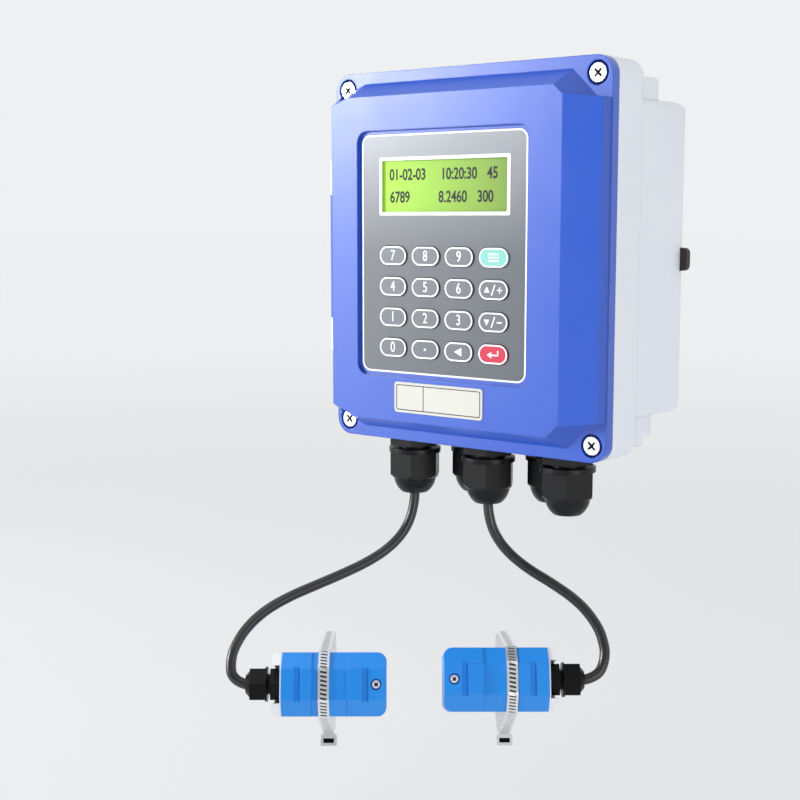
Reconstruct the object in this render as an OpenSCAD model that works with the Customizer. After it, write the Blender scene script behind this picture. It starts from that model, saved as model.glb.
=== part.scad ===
// Ultrasonic flow meter: wall case with a hinged keypad cover, and two clamp-on sensors on their cables.
// +Z up, front towards -Y, wall plane at y = 0 behind the case, origin between the two wall holes.

/* [Case] */
// Width of the case and its cover
case_width = 132; // [120:1:150]
// Height of the case and its cover
case_height = 150; // [140:1:170]
// Corner radius of the case and its cover
case_corner_r = 7; // [4:0.5:10]
// Depth of the base from the wall to the parting plane
base_depth = 53.5; // [50:0.5:60]
// Depth of the wider flange behind the parting plane
flange_depth = 17.5; // [15:0.5:20]
// Distance of the deep body from the case's top and bottom
body_drop = 14; // [12:0.5:16]
// Chamfer on the upper and lower rear edges of the deep body
body_chamfer = 4; // [1:0.5:6]
// Chamfer on the rear side edges of the deep body
body_side_chamfer = 1.5; // [0.5:0.1:3]
// How far the deep body steps in from the case side
body_step = 0.4; // [0.2:0.1:1.5]
// Wall at the sides of the base
side_wall = 5; // [4:0.25:7]
// Distance from the case top to the space inside the base
end_wall = 17.5; // [16.5:0.25:19]
// Thickness of the back wall
back_wall = 3; // [2:0.25:4]
// Width of a corner column behind the flange
column_width = 14.5; // [12:0.5:18]
// Distance from the case side to a corner column
column_inset = 3.5; // [2:0.5:5]
// Distance from the column's outer face to the case top
column_drop = 5.5; // [4:0.5:8]
// Corner radius of a corner column
column_corner_r = 2; // [1:0.25:4]
// Distance from the wall to the rear end of a corner column
column_rear = 18; // [14:1:24]
// Depth of the lightening pockets behind the flange
light_depth = 14.5; // [10:0.5:15]
// Height of the lightening pockets
light_height = 9; // [6:0.5:10]
// Width of the lightening pockets
light_width = 92; // [60:1:96]
// Wall left outside the lightening pockets
light_wall = 2.5; // [2:0.25:4]

/* [Gland platform] */
// Distance from the case side to the platform that carries the glands
platform_inset = 13; // [11:0.5:14]
// Distance from the wall to the platform's rear face
platform_rear = 7.5; // [5:0.5:9]
// Wall at the sides of the wiring pocket over the glands
pocket_side = 2.5; // [2:0.25:3]
// Wall under the wiring pocket
pocket_floor = 3; // [2.5:0.25:4]
// Wall in front of the wiring pocket
pocket_front = 2.5; // [2:0.25:3]
// Wall behind the wiring pocket
pocket_back = 3; // [2:0.25:3.5]

/* [Gasket and cover screws] */
// Width of the gasket
gasket_width = 2.2; // [1.6:0.1:2.4]
// Thickness of the gasket
gasket_depth = 1.4; // [1:0.1:1.8]
// Distance from the case side to the gasket
gasket_side = 1.9; // [1.7:0.1:2.5]
// Distance from the case top to the gasket
gasket_end = 13.9; // [13:0.1:14.5]
// Corner radius of the gasket
gasket_corner_r = 4; // [3:0.5:6]
// Distance of a cover screw from the case side
screw_side_inset = 6.4; // [6:0.1:7]
// Distance of a cover screw from the case top or bottom
screw_end_inset = 6.5; // [6:0.1:7]
// Head diameter of a cover screw
screw_head_d = 7; // [6:0.1:7.6]
// Head height of a cover screw
screw_head_h = 2; // [1.6:0.1:2.2]
// Shank diameter of a cover screw
screw_shank_d = 3.3; // [3:0.1:3.4]
// Reach of a loosened cover screw past the parting plane
screw_reach = 5; // [4:0.25:5.5]
// Diameter of the counterbore round a screw head
counterbore_d = 9.1; // [8.6:0.1:9.6]
// Thickness of the web under a screw head
screw_web = 1.4; // [1.2:0.1:1.6]
// Diameter of the hole in the web
web_hole_d = 3.5; // [3.45:0.01:3.5]
// Diameter of the lead-in well in the base
well_d = 9; // [8.8:0.1:9.2]
// Depth of the lead-in well in the base
well_depth = 5.4; // [5.2:0.1:6]
// Outer diameter of a brass insert
insert_d = 6; // [5:0.25:7]
// Length of a brass insert
insert_length = 8; // [6:0.5:10]
// Inner diameter of a brass insert
insert_bore_d = 3.4; // [3.35:0.01:3.5]
// Width of the cross recess in a screw head
cross_width = 0.9; // [0.7:0.1:1.2]
// Length of the cross recess in a screw head
cross_length = 4; // [3:0.1:4.6]
// Depth of the cross recess in a screw head
cross_depth = 1.1; // [0.8:0.1:1.4]

/* [Hinge] */
// Distance of the hinge axis from the case side
hinge_side = 2.8; // [2.6:0.1:3.2]
// Distance of the hinge axis in front of the parting plane
hinge_front = 1; // [0.8:0.1:1.4]
// Radius of the hinge barrel
barrel_r = 3; // [2.6:0.1:3.1]
// Radius of the hinge pin
pin_r = 1.5; // [1.2:0.1:1.6]
// Running clearance round the hinge pin
pin_clear = 0.06; // [0.03:0.01:0.09]
// Half length of the cover's knuckle
knuckle_half = 25.8; // [24:0.2:26]
// Length of a knuckle on the base
knuckle_length = 14; // [12:0.5:16]
// Gap between two knuckles
knuckle_gap = 0.2; // [0.1:0.05:0.4]
// Clearance cut round a barrel
barrel_clear = 0.35; // [0.3:0.05:0.5]
// Depth of a base knuckle's arm along the case side
arm_depth = 12; // [8:0.5:16]

/* [Cover] */
// Thickness of the cover's rim
rim_depth = 4.5; // [4.2:0.1:5]
// Height of the raised front above the rim
raise = 7; // [6.5:0.1:7.5]
// Distance from the case side to the left edge of the raised front
left_margin = 3.3; // [2.6:0.1:4]
// Spread of the steep sides at their foot
raise_spread = 0.9; // [0.4:0.1:1.6]
// Width of the facet between the crease and the right edge
facet_width_right = 15.7; // [13:0.1:18]
// Distance from the case side to the right edge of the raised front
right_margin = 1.3; // [1:0.1:2]
// Fall of the right facet
facet_fall = 2.5; // [1.5:0.1:3.5]
// Distance from the case top to the upper edge of the raised front
top_margin = 10.3; // [9:0.1:11]
// Distance from the case bottom to the lower edge of the raised front
bottom_margin = 8.8; // [8:0.1:10]
// Distance from the case edge to the foot of the upper and lower ramps
ramp_margin = 4.5; // [3.5:0.1:5.5]
// Wall at the sides of the cover
cover_side_wall = 7; // [6.5:0.25:9]
// Distance from the cover top to the space inside it
cover_end_wall = 17; // [17:0.25:19]
// Depth of the space inside the cover
hollow_depth = 6.5; // [6.3:0.1:6.7]
// Deeper part of that space beside the panel
side_hollow_depth = 8; // [7.5:0.1:8.4]

/* [Front panel] */
// Width of the front panel
panel_width = 81; // [80:0.5:82]
// Height of the front panel
panel_height = 96; // [95:0.5:97]
// Corner radius of the front panel
panel_corner_r = 4; // [2:0.5:6]
// Sideways place of the panel centre
panel_x = -7; // [-7.5:0.1:-6.5]
// Upward place of the panel centre
panel_z = 1.5; // [1:0.1:2]
// Thickness of the front panel
panel_thick = 1; // [0.8:0.1:1.2]
// Depth of the recess over the panel
recess_depth = 1.5; // [1:0.1:2]
// Rim of the recess beyond the panel
recess_rim = 1.5; // [1:0.1:2]
// Width of the display window
window_width = 64; // [62:0.5:65]
// Height of the display window
window_height = 23.2; // [22:0.2:24]
// Sideways place of the window centre
window_x = -6.4; // [-7:0.1:-6]
// Upward place of the window centre
window_z = 28.8; // [28:0.1:29.5]
// Corner radius of the display window
window_corner_r = 0.8; // [0.4:0.1:1.5]
// Ledge of the cover under the window
window_ledge = 1.2; // [1:0.1:2]

/* [Keys] */
// Sideways place of the first key column
key_x = -31; // [-31.5:0.1:-30.5]
// Upward place of the first key row
key_z = 1.1; // [0.8:0.1:1.4]
// Distance between key columns
key_pitch_x = 16.5; // [16.4:0.1:16.8]
// Distance between key rows
key_pitch_z = 12.4; // [12:0.1:12.6]
// Width of a key cap
key_width = 13.5; // [13:0.1:13.6]
// Height of a key cap
key_height = 7.5; // [7:0.1:8]
// How far a key stands out of the panel
key_proud = 0.6; // [0.5:0.05:0.9]
// Gap round a key cap
key_gap = 0.3; // [0.25:0.05:0.35]
// Overhang of a key foot behind the panel
key_foot = 0.8; // [0.7:0.05:0.85]
// Thickness of a key foot
key_foot_depth = 1; // [0.8:0.1:1.1]
// Play between key foot and panel
key_play = 0.08; // [0.05:0.01:0.1]
// Radius of the plunger under a key
plunger_r = 1.8; // [1.5:0.1:2]
// Length of the plunger under a key
plunger_length = 0.57; // [0.5:0.01:0.6]
// Thickness of the keypad circuit
circuit_thick = 1.2; // [0.8:0.1:1.3]
// Radius of a switch dome
dome_r = 3; // [2.5:0.1:3.2]
// Height of a switch dome
dome_h = 0.3; // [0.2:0.02:0.3]

/* [Display] */
// Distance from the cover's inner floor to the display board
display_gap = 2.8; // [2.7:0.05:3]
// Width of the display glass
glass_width = 60.4; // [58:0.2:61]
// Height of the display glass
glass_height = 20.4; // [19:0.2:20.6]
// Depth of the display glass and its bezel
glass_depth = 3.6; // [3.4:0.1:3.7]
// Width of the display module's board
module_width = 68; // [66:0.5:69]
// Height of the display module's board
module_height = 28; // [26:0.5:28]
// Thickness of the display module's board
module_thick = 1.4; // [1.2:0.1:1.4]
// Width of the display board
display_width = 84; // [82:0.5:86]
// Height of the display board
display_height = 98; // [96:0.5:100]
// Sideways place of the display board
display_x = -6; // [-7:0.5:-5]
// Thickness of a circuit board
board_thick = 1.6; // [1.4:0.1:1.8]
// Distance of a display screw from its board's side
display_screw_inset = 3; // [2.8:0.1:4]
// Distance of a display screw from its board's top
display_screw_drop = 3.5; // [2.8:0.1:4]
// Radius of a display board boss
display_boss_r = 2.8; // [2.4:0.1:3]
// Shank radius of a small screw
small_screw_r = 1.2; // [1:0.1:1.3]
// Head radius of a small screw
small_head_r = 2.4; // [2:0.1:2.6]
// Head height of a small screw
small_head_h = 1.4; // [1:0.1:1.6]

/* [Main board] */
// Width of the main board
board_width = 92; // [88:1:94]
// Height of the main board
board_height = 72; // [66:1:74]
// Upward place of the main board's centre
board_z = 14; // [12:0.5:16]
// Height of the stand-offs under the main board
standoff_h = 7; // [6:0.25:8]
// Radius of a stand-off
standoff_r = 3; // [2.6:0.1:3.4]
// Distance of a board screw from the board's edge
board_screw_inset = 5; // [4:0.5:6]
// Width of the transformer
transformer_width = 34; // [30:1:38]
// Height of the transformer
transformer_height = 30; // [26:1:32]
// Depth of the transformer
transformer_depth = 26; // [22:1:30]
// Radius of a large capacitor
capacitor_r = 6; // [5:0.5:7]
// Length of a large capacitor
capacitor_length = 18; // [14:1:22]
// Width of a terminal block
terminal_width = 27; // [25:0.5:28]
// Height of a terminal block
terminal_height = 9; // [8:0.5:10]
// Depth of a terminal block
terminal_depth = 11; // [9:0.5:13]
// Distance between terminal screws
terminal_pitch = 5; // [4.5:0.1:5.2]
// Radius of a terminal screw well
terminal_well_r = 1.8; // [1.4:0.1:2]

/* [Wall bar] */
// How far the wall bar stands out at each side of the case
bar_end = 2.5; // [1:0.1:4]
// Height of the wall bar
bar_height = 9; // [8:0.5:10]
// Thickness of the wall bar
bar_thick = 3; // [2.5:0.25:3]
// Corner radius of the wall bar
bar_corner_r = 2; // [1:0.25:3]
// Distance between the two wall holes
wall_hole_pitch = 110; // [108:0.5:111]
// Diameter of a wall hole
wall_hole_d = 4.5; // [4:0.1:5]
// Diameter of the room for a wall screw head
head_room_d = 9.6; // [9:0.1:10]
// Depth of the room for a wall screw head
head_room_depth = 5; // [4:0.25:5.5]
// Thickness of plastic round that room
head_room_wall = 1.7; // [1.4:0.1:1.8]
// Height of the rib behind the wall bar
rib_height = 16; // [14:0.5:18]
// Depth of the rib behind the wall bar
rib_depth = 3.5; // [3:0.25:3.5]
// Distance between the two screws that hold the bar
bar_screw_pitch = 50; // [40:1:60]

/* [Cable glands] */
// Width across flats of a gland
gland_af = 19.5; // [18:0.25:19.5]
// Thickness of a gland's fixed hexagon
gland_collar = 4.5; // [4:0.25:5]
// Radius of a gland's thread
gland_thread_r = 7.6; // [7:0.1:7.8]
// Length of a gland's thread inside the case
gland_thread = 11; // [9:0.5:12]
// Radius of a gland's neck inside its nut
gland_neck_r = 6.9; // [6.6:0.1:7]
// Length of a gland's neck
gland_neck = 11.5; // [10:0.5:12]
// Radius of a gland's bore
gland_bore_r = 5.2; // [5:0.1:5.4]
// Radius of the round lip on a dome nut
nut_lip_r = 11; // [10.4:0.1:11.2]
// Thickness of that lip
nut_lip = 2; // [1.4:0.1:2.6]
// Hexagonal length of a dome nut
nut_hex = 10.8; // [10:0.2:12]
// Chamfer on the corners at the lower end of the hexagon
nut_chamfer = 1.6; // [0.8:0.1:2.4]
// Length of a dome nut's dome
nut_dome = 6.5; // [5:0.1:7]
// Radius of a dome nut's dome
nut_dome_r = 9; // [8:0.1:9.4]
// Gap between a dome nut and the fixed hexagon
nut_gap = 1.2; // [0.2:0.1:1.6]
// Radial gap between a dome nut and the neck
nut_clear = 0.3; // [0.3:0.02:0.4]
// Radius of a dome nut's mouth
nut_mouth_r = 3.4; // [3.3:0.05:4]
// Radius of a dome nut at its end
nut_end_r = 5.6; // [5:0.1:6.5]
// Length of a gland seal
seal_length = 10; // [8:0.5:10.5]
// Radius of the bore in a spare seal
spare_bore_r = 3.1; // [2.9:0.05:3.2]
// Height of a gland's lock nut
locknut_h = 4.5; // [4:0.25:5]
// Distance between the glands in the front row
gland_pitch = 38.3; // [37.5:0.1:39]
// Distance of the front row from the wall
front_row = 40; // [39.5:0.1:40.5]
// Distance of the rear row from the wall
rear_row = 21.5; // [21:0.1:22]

/* [Sensors] */
// Radius of the pipe that the sensors sit on
pipe_r = 21.2; // [20:0.1:22]
// Length of a sensor
sensor_length = 45; // [42:0.5:48]
// Width of a sensor
sensor_width = 25; // [24:0.5:26]
// Height of a sensor above the pipe
sensor_height = 32; // [30:0.5:34]
// Width of a sensor's top facet
facet_width = 12; // [11:0.5:13]
// Thickness of a sensor's white end
end_thick = 3.6; // [3:0.1:4]
// How far the sensor gland is set into that end
gland_sunk = 3; // [2:0.1:3.2]
// Gap round the sensor gland in the white end
gland_room = 0.6; // [0.4:0.1:1]
// Corner radius of the white end
end_corner_r = 1.5; // [0.5:0.25:3]
// Thickness of a sensor's sole
sole_thick = 3; // [2.5:0.25:4]
// Wall of a sensor's cover
sensor_wall = 2; // [1.6:0.1:2.4]
// Width of the band seat on a sensor
seat_width = 14; // [13:0.5:16]
// Depth of the band seat on a sensor
seat_depth = 0.6; // [0.4:0.1:0.9]
// Width of a groove across a sensor's top
groove_width = 2.4; // [2:0.1:3]
// Depth of a groove across a sensor's top
groove_depth = 0.8; // [0.5:0.1:1.2]
// Distance of the first groove from the sensor's centre
groove_a = 12.6; // [12:0.1:13]
// Distance of the second groove from the sensor's centre
groove_b = 14.2; // [13.8:0.1:14.6]
// Rise of the pads beside the band seat
pad_rise = 0.35; // [0.2:0.05:0.6]
// Corner radius at a sensor's closed end
sensor_corner_r = 3.5; // [2:0.25:4.5]
// Distance of a sensor's screw from its closed end
sensor_screw_inset = 4; // [3.6:0.1:4.6]
// Diameter of a sensor screw's head
sensor_head_d = 3.2; // [2.8:0.1:3.4]
// Diameter of the hole round a sensor screw's head
sensor_head_hole_d = 4.3; // [4:0.1:4.6]
// Length of a sensor screw
sensor_screw_length = 20; // [17:0.5:22]
// Height of the post that takes a sensor's screw
sensor_post = 12; // [10:0.5:14]
// Radius of that post
sensor_post_r = 1.9; // [1.7:0.05:2]
// Radius of a piezo crystal
crystal_r = 5; // [4:0.25:5.5]
// Thickness of a piezo crystal
crystal_thick = 1; // [0.8:0.1:1.4]
// Slope of the wedge under a piezo crystal
crystal_slope = 40; // [35:1:45]
// Height of a sensor gland above the pipe
sensor_gland_h = 20; // [18:0.5:21]
// Width across flats of a sensor gland
sensor_gland_af = 12.3; // [11.5:0.1:13]
// Thickness of a sensor gland's fixed hexagon
sensor_gland_collar = 4.3; // [3.6:0.1:4.8]
// Length of a sensor gland's neck
sensor_gland_neck = 7; // [6:0.25:7.5]
// Radius of a sensor gland's neck
sensor_gland_neck_r = 4; // [3.8:0.1:4.2]
// Gap between a sensor gland's nut and collar
sensor_nut_gap = 1.2; // [0.2:0.1:1.6]
// Length of a sensor gland's nut, its lip included
sensor_nut = 7; // [6.5:0.25:8]
// Thickness of the nut's lip
sensor_nut_lip = 0.9; // [0.6:0.1:1.4]
// Radius of the nut's lip
sensor_nut_lip_r = 6.9; // [6.4:0.1:7.2]
// Length of a sensor gland nut's tapered tip
sensor_nut_tip = 1.8; // [1:0.1:3]
// Radius of a sensor gland nut at its tip
sensor_nut_tip_r = 3.6; // [3.2:0.1:4.2]
// Radial gap between a sensor gland's nut and the cable
sensor_nut_clear = 0.4; // [0.3:0.05:0.6]

/* [Clamp bands] */
// Width of a clamp band
band_width = 4.4; // [4:0.2:5]
// Thickness of a clamp band
band_thick = 0.7; // [0.6:0.05:0.9]
// Shift of the left band from its sensor's centre
band_shift_left = 2.2; // [0:0.1:3]
// Shift of the right band from its sensor's centre
band_shift_right = 4.4; // [1:0.1:4.6]
// Width of a worm housing along the pipe
housing_width = 6.8; // [6:0.1:8]
// Height of a worm housing
housing_height = 4.2; // [4:0.1:5.5]
// Depth of the mouth at a worm housing's front end
mouth_depth = 1; // [0.5:0.1:1.5]
// Wall round that mouth
mouth_wall = 1.15; // [0.9:0.05:1.4]
// Length of a worm housing
housing_length = 9; // [8:0.25:10]
// Radius of a worm screw
worm_r = 1.5; // [1.2:0.05:1.6]
// Running clearance round a worm screw
worm_clear = 0.08; // [0.04:0.01:0.1]
// Radius of a worm screw's head
worm_head_r = 2.1; // [1.8:0.1:2.3]
// Height of a worm screw's head
worm_head_h = 2; // [1.5:0.1:2.5]
// Gap between a worm housing and its screw's head
worm_gap = 0.2; // [0.1:0.05:0.4]
// Play between a worm housing and its band
band_play = 0.01; // [0.01:0.01:0.05]
// Width of the slot in a worm screw's head
slot_width = 0.6; // [0.4:0.05:0.8]
// Depth of the slot in a worm screw's head
slot_depth = 0.9; // [0.6:0.1:1.2]

/* [Cables] */
// Diameter of a sensor cable
cable_d = 4.2; // [4:0.05:4.2]

/* [Hidden] */
$fn = 64;
// One overrun past a face that a cut goes through
over = 1;
// Pipe axis point midway between the sensors, in the case frame
pipe_mid = [-32, -48.8, -181.8];
// Turn of the pipe about +Z, lean of the left and right sensor's face upwards
pipe_turn = 38.8;
sensor_leans = [17.9, 20.2];
// Distance of each sensor's centre from that point along the pipe
sensor_offset = 33.9;
// Sides of a cable's tube
sides = 10;
half_width = case_width / 2;
half_height = case_height / 2;
body_height = case_height - 2 * body_drop;
cavity_width = case_width - 2 * side_wall;
cavity_height = case_height - 2 * end_wall;
platform_width = case_width - 2 * platform_inset;
pocket_width = platform_width - 2 * pocket_side;
gasket_over_width = case_width - 2 * gasket_side;
gasket_over_height = case_height - 2 * gasket_end;
screw_x = half_width - screw_side_inset;
screw_z = half_height - screw_end_inset;
hinge_x = half_width + hinge_side;
raise_left = half_width - left_margin;
raise_right = half_width - right_margin;
crease_x = raise_right - facet_width_right;
raise_top = half_height - top_margin;
raise_bottom = half_height - bottom_margin;
ramp_foot = half_height - ramp_margin;
hollow_width = case_width - 2 * cover_side_wall;
hollow_height = case_height - 2 * cover_end_wall;
display_screw_x = display_width / 2 - display_screw_inset;
display_screw_z = display_height / 2 - display_screw_drop;
bar_length = case_width + 2 * bar_end;
parting_y = -base_depth;
rim_y = parting_y - rim_depth;
top_y = rim_y - raise;
panel_y = top_y + recess_depth;
floor_y = panel_y + panel_thick;
hollow_y = parting_y - hollow_depth;
hinge_y = parting_y - hinge_front;
flange_rear = parting_y + flange_depth;
body_width = case_width - 2 * body_step;
platform_z = -half_height;
hex_ratio = 2 / sqrt(3);
screw_places = [[-screw_x, screw_z], [screw_x, screw_z], [-screw_x, -screw_z], [screw_x, -screw_z]];
gland_places = [[-gland_pitch, -front_row], [0, -front_row], [gland_pitch, -front_row],
                [-gland_pitch / 2, -rear_row], [gland_pitch / 2, -rear_row]];
display_screw_places = [for (x = [-1, 1], z = [-1, 1]) [display_x + x * display_screw_x, z * display_screw_z]];
board_screw_x = board_width / 2 - board_screw_inset;
board_screw_z = board_height / 2 - board_screw_inset;
board_screw_places = [for (x = [-1, 1], z = [-1, 1]) [x * board_screw_x, board_z + z * board_screw_z]];
board_y = -back_wall - standoff_h;
board_front = board_y - board_thick;
display_front = hollow_y + display_gap;
sensor_top = pipe_r + sensor_height;
seat_top = sensor_top - seat_depth;
flank_drop = (sensor_width - facet_width) / 2;
gland_z = pipe_r + sensor_gland_h;
cable_r = cable_d / 2;
// Lines that the band follows from the sensor's flank to the pipe
flank_y = sensor_width / 2;
flank_z = seat_top - flank_drop;
flank_reach = sqrt(flank_y * flank_y + flank_z * flank_z);
band_angle = asin(pipe_r / flank_reach) - atan(flank_y / flank_z);
worm_y = -(pipe_r + band_thick + housing_height / 2);
// Cuts at the corners of the raised front: a point of the foot, its turn and its slope
left_cut_step = [1.4, 5];
left_cut_foot = [-raise_left - left_cut_step[0], ramp_foot - left_cut_step[1]];
left_cut_turn = -19.6;
left_cut_slope = 31;
right_cut_step = [0.5, 0.3];
right_cut_foot = [crease_x - right_cut_step[0], ramp_foot + right_cut_step[1]];
right_cut_turn = 44;
right_cut_slope = 44;
// Wall beside a right corner cut: its inner end and its turn
right_wall_step = [0.7, 3.1];
right_wall_start = [crease_x - right_wall_step[0], raise_top - right_wall_step[1]];
right_wall_turn = 7.6;
sensor_half = sensor_length / 2;
post_top = pipe_r + sole_thick + sensor_post;
// Lower end of a case gland, and the distances of a sensor gland's neck end and tip from the sensor's centre
exit_z = platform_z - gland_collar - nut_gap - nut_lip - nut_hex - nut_dome;
neck_reach = sensor_half - gland_sunk + sensor_gland_collar + sensor_gland_neck;
tip_reach = sensor_half - gland_sunk + sensor_gland_collar + sensor_nut_gap + sensor_nut + sensor_nut_tip;
// Cable centre lines, from inside the case gland to inside the sensor gland
left_route = [
    [gland_places[0][0], gland_places[0][1], exit_z + cable_d * 4],
    [gland_places[0][0], gland_places[0][1], exit_z + cable_d * 2],
    [gland_places[0][0], gland_places[0][1], exit_z], [-38.5, -40.7, -106], [-39, -42.5, -111.8],
    [-40.1, -45.4, -116.9], [-41.8, -49.3, -121.2], [-43.9, -53.9, -124.7], [-46.2, -58.7, -127.4],
    [-48.6, -63.8, -129.7], [-51, -69, -131.6], [-53.3, -74.3, -133.3], [-55.6, -79.7, -134.9],
    [-57.9, -85.1, -136.5], [-60, -90.5, -138], [-62.1, -96, -139.8], [-64.1, -101.3, -141.9],
    [-65.8, -106.5, -144.5], [-67.1, -111.4, -147.7], [-68, -115.9, -151.6], [-68.2, -119.9, -156.2],
    [-67.8, -121.9, -159.2], [-67, -123.3, -162.4], [-65.6, -124.1, -165.6], [-63.1, -123.4, -167.9],
    gland_point(-1, tip_reach), gland_point(-1, neck_reach + cable_r / 2),
    gland_point(-1, neck_reach - cable_d * 1.5)];
right_route = [
    [gland_places[1][0], gland_places[1][1], exit_z + cable_d * 4],
    [gland_places[1][0], gland_places[1][1], exit_z + cable_d * 2],
    [gland_places[1][0], gland_places[1][1], exit_z], [0.6, -39.8, -106], [2.3, -39.2, -111.8],
    [5.2, -38, -117], [9, -36.5, -121.4], [13.4, -34.6, -125.2], [18.1, -32.7, -128.4],
    [23.1, -30.7, -131.3], [28.1, -28.9, -134.3], [33, -27.4, -137.4], [37.7, -26.2, -141.1],
    [42, -25.7, -145.3], [45.7, -25.8, -150], [48.5, -26.9, -155.3], [49.5, -28, -158.6],
    [49.8, -29.6, -161.8], [49.3, -31.6, -164.7], [47.5, -34.1, -166.6], gland_point(1, tip_reach),
    gland_point(1, neck_reach + cable_r / 2), gland_point(1, neck_reach - cable_d * 1.5)];

function lean(side) = sensor_leans[side > 0 ? 1 : 0];

// Point on a sensor gland's axis, by its distance from the sensor's centre
function gland_point(side, reach) =
    let (along = side * (sensor_offset + reach), out = gland_z * cos(lean(side)))
        pipe_mid + [along * cos(pipe_turn) + out * sin(pipe_turn), along * sin(pipe_turn) - out * cos(pipe_turn),
                    gland_z * sin(lean(side))];

// Extrudes a drawing on the x-z plane from the front y to the back y
module slab(front, back) {
    translate([0, back, 0]) rotate([90, 0, 0]) linear_extrude(back - front) children();
}

module rounded(width, height, r) {
    square([width - 2 * r, height], center = true);
    square([width, height - 2 * r], center = true);
    for (x = [-1, 1], z = [-1, 1])
        translate([x * (width / 2 - r), z * (height / 2 - r)]) circle(r = r);
}

module obround(width, height) {
    square([width - height, height], center = true);
    for (x = [-1, 1]) translate([x * (width - height) / 2, 0]) circle(d = height);
}

// A round bar along y at a place on the x-z plane
module rod(place, r, front, back) {
    translate([place[0], back, place[1]]) rotate([90, 0, 0]) cylinder(r = r, h = back - front);
}

module hinge_rod(r, low, high) {
    translate([-hinge_x, hinge_y, low]) cylinder(r = r, h = high - low);
}

module case_outline() {
    rounded(case_width, case_height, case_corner_r);
}

// Chamfers the rear edges of the deep body
module body_profile(size, cut) {
    half = size / 2;
    polygon([[-half, flange_rear - over], [half, flange_rear - over], [half, -cut], [half - cut, 0],
             [cut - half, 0], [-half, -cut]]);
}

module deep_body() {
    intersection() {
        slab(flange_rear - over, 0) rounded(body_width, body_height, body_chamfer);
        translate([0, 0, -half_height]) linear_extrude(case_height) body_profile(body_width, body_side_chamfer);
        translate([-half_width, 0, 0]) rotate([0, 90, 0]) linear_extrude(case_width)
            body_profile(body_height, body_chamfer);
    }
}

module columns() {
    outer = half_width - column_inset;
    top = half_height - column_drop;
    for (x = [-1, 1], z = [-1, 1]) slab(flange_rear - over, -column_rear)
        translate([x * (outer - column_width / 2), z * (top - column_width / 2)])
            rounded(column_width, column_width, column_corner_r);
}

module gland_platform() {
    translate([-platform_width / 2, flange_rear - over, platform_z])
        cube([platform_width, over - flange_rear - platform_rear, half_height - body_height / 2 + over]);
}

module base_knuckle(low) {
    hinge_rod(barrel_r, low, low + knuckle_length);
    translate([0, 0, low]) linear_extrude(knuckle_length)
        polygon([[-hinge_x - barrel_r, hinge_y], [-half_width + over, hinge_y + arm_depth],
                 [-half_width + over, parting_y + over / 2], [-half_width, parting_y + knuckle_gap], [-hinge_x, hinge_y]]);
}

module gasket_ring(extra) {
    slab(parting_y - extra, parting_y + gasket_depth) difference() {
        rounded(gasket_over_width, gasket_over_height, gasket_corner_r);
        rounded(gasket_over_width - 2 * gasket_width, gasket_over_height - 2 * gasket_width,
                gasket_corner_r - gasket_width);
    }
}

module case_base() {
    color("gainsboro") difference() {
        union() {
            difference() {
                union() {
                    slab(parting_y, flange_rear) case_outline();
                    deep_body();
                    columns();
                    gland_platform();
                }
                hinge_rod(barrel_r + barrel_clear, -knuckle_half - knuckle_gap, knuckle_half + knuckle_gap);
                slab(parting_y - over, -back_wall) square([cavity_width, cavity_height], center = true);
                translate([-pocket_width / 2, parting_y + pocket_front, platform_z + pocket_floor])
                    cube([pocket_width, -parting_y - pocket_front - platform_rear - pocket_back,
                          half_height - cavity_height / 2 - pocket_floor + over]);
                slab(flange_rear - light_depth, flange_rear + over)
                    translate([0, half_height - light_wall - light_height / 2])
                        square([light_width, light_height], center = true);
                gasket_ring(over);
            }
            translate([0, -back_wall, 0]) slab(-rib_depth, 0) square([cavity_width, rib_height], center = true);
            for (x = [-1, 1])
                rod([x * wall_hole_pitch / 2, 0], head_room_d / 2 + head_room_wall,
                    -back_wall - head_room_depth - head_room_wall, -back_wall);
            base_knuckle(knuckle_half + knuckle_gap);
            base_knuckle(-knuckle_half - knuckle_gap - knuckle_length);
        }
        for (p = screw_places) {
            rod(p, well_d / 2, parting_y - over, parting_y + well_depth);
            rod(p, insert_d / 2, parting_y, parting_y + well_depth + insert_length);
        }
        translate([-half_width - over, -bar_thick, -bar_height / 2])
            cube([case_width + 2 * over, bar_thick + over, bar_height]);
        for (x = [-1, 1]) {
            rod([x * wall_hole_pitch / 2, 0], head_room_d / 2, -back_wall - head_room_depth, 0);
            rod([x * bar_screw_pitch / 2, 0], small_screw_r, -back_wall - rib_depth - over, 0);
        }
        for (g = gland_places)
            translate([g[0], g[1], platform_z - over]) cylinder(r = gland_thread_r, h = pocket_floor + 2 * over);
        hinge_rod(pin_r, -half_height, half_height);
    }
}

module cover_gasket() {
    color("dimgray") gasket_ring(0);
}

module hinge_pin() {
    color("silver") hinge_rod(pin_r, -knuckle_half - knuckle_gap - knuckle_length,
                              knuckle_half + knuckle_gap + knuckle_length);
}

module screw_inserts() {
    color("goldenrod") for (p = screw_places) difference() {
        rod(p, insert_d / 2, parting_y + well_depth, parting_y + well_depth + insert_length);
        rod(p, insert_bore_d / 2, parting_y, 0);
    }
}

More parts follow.
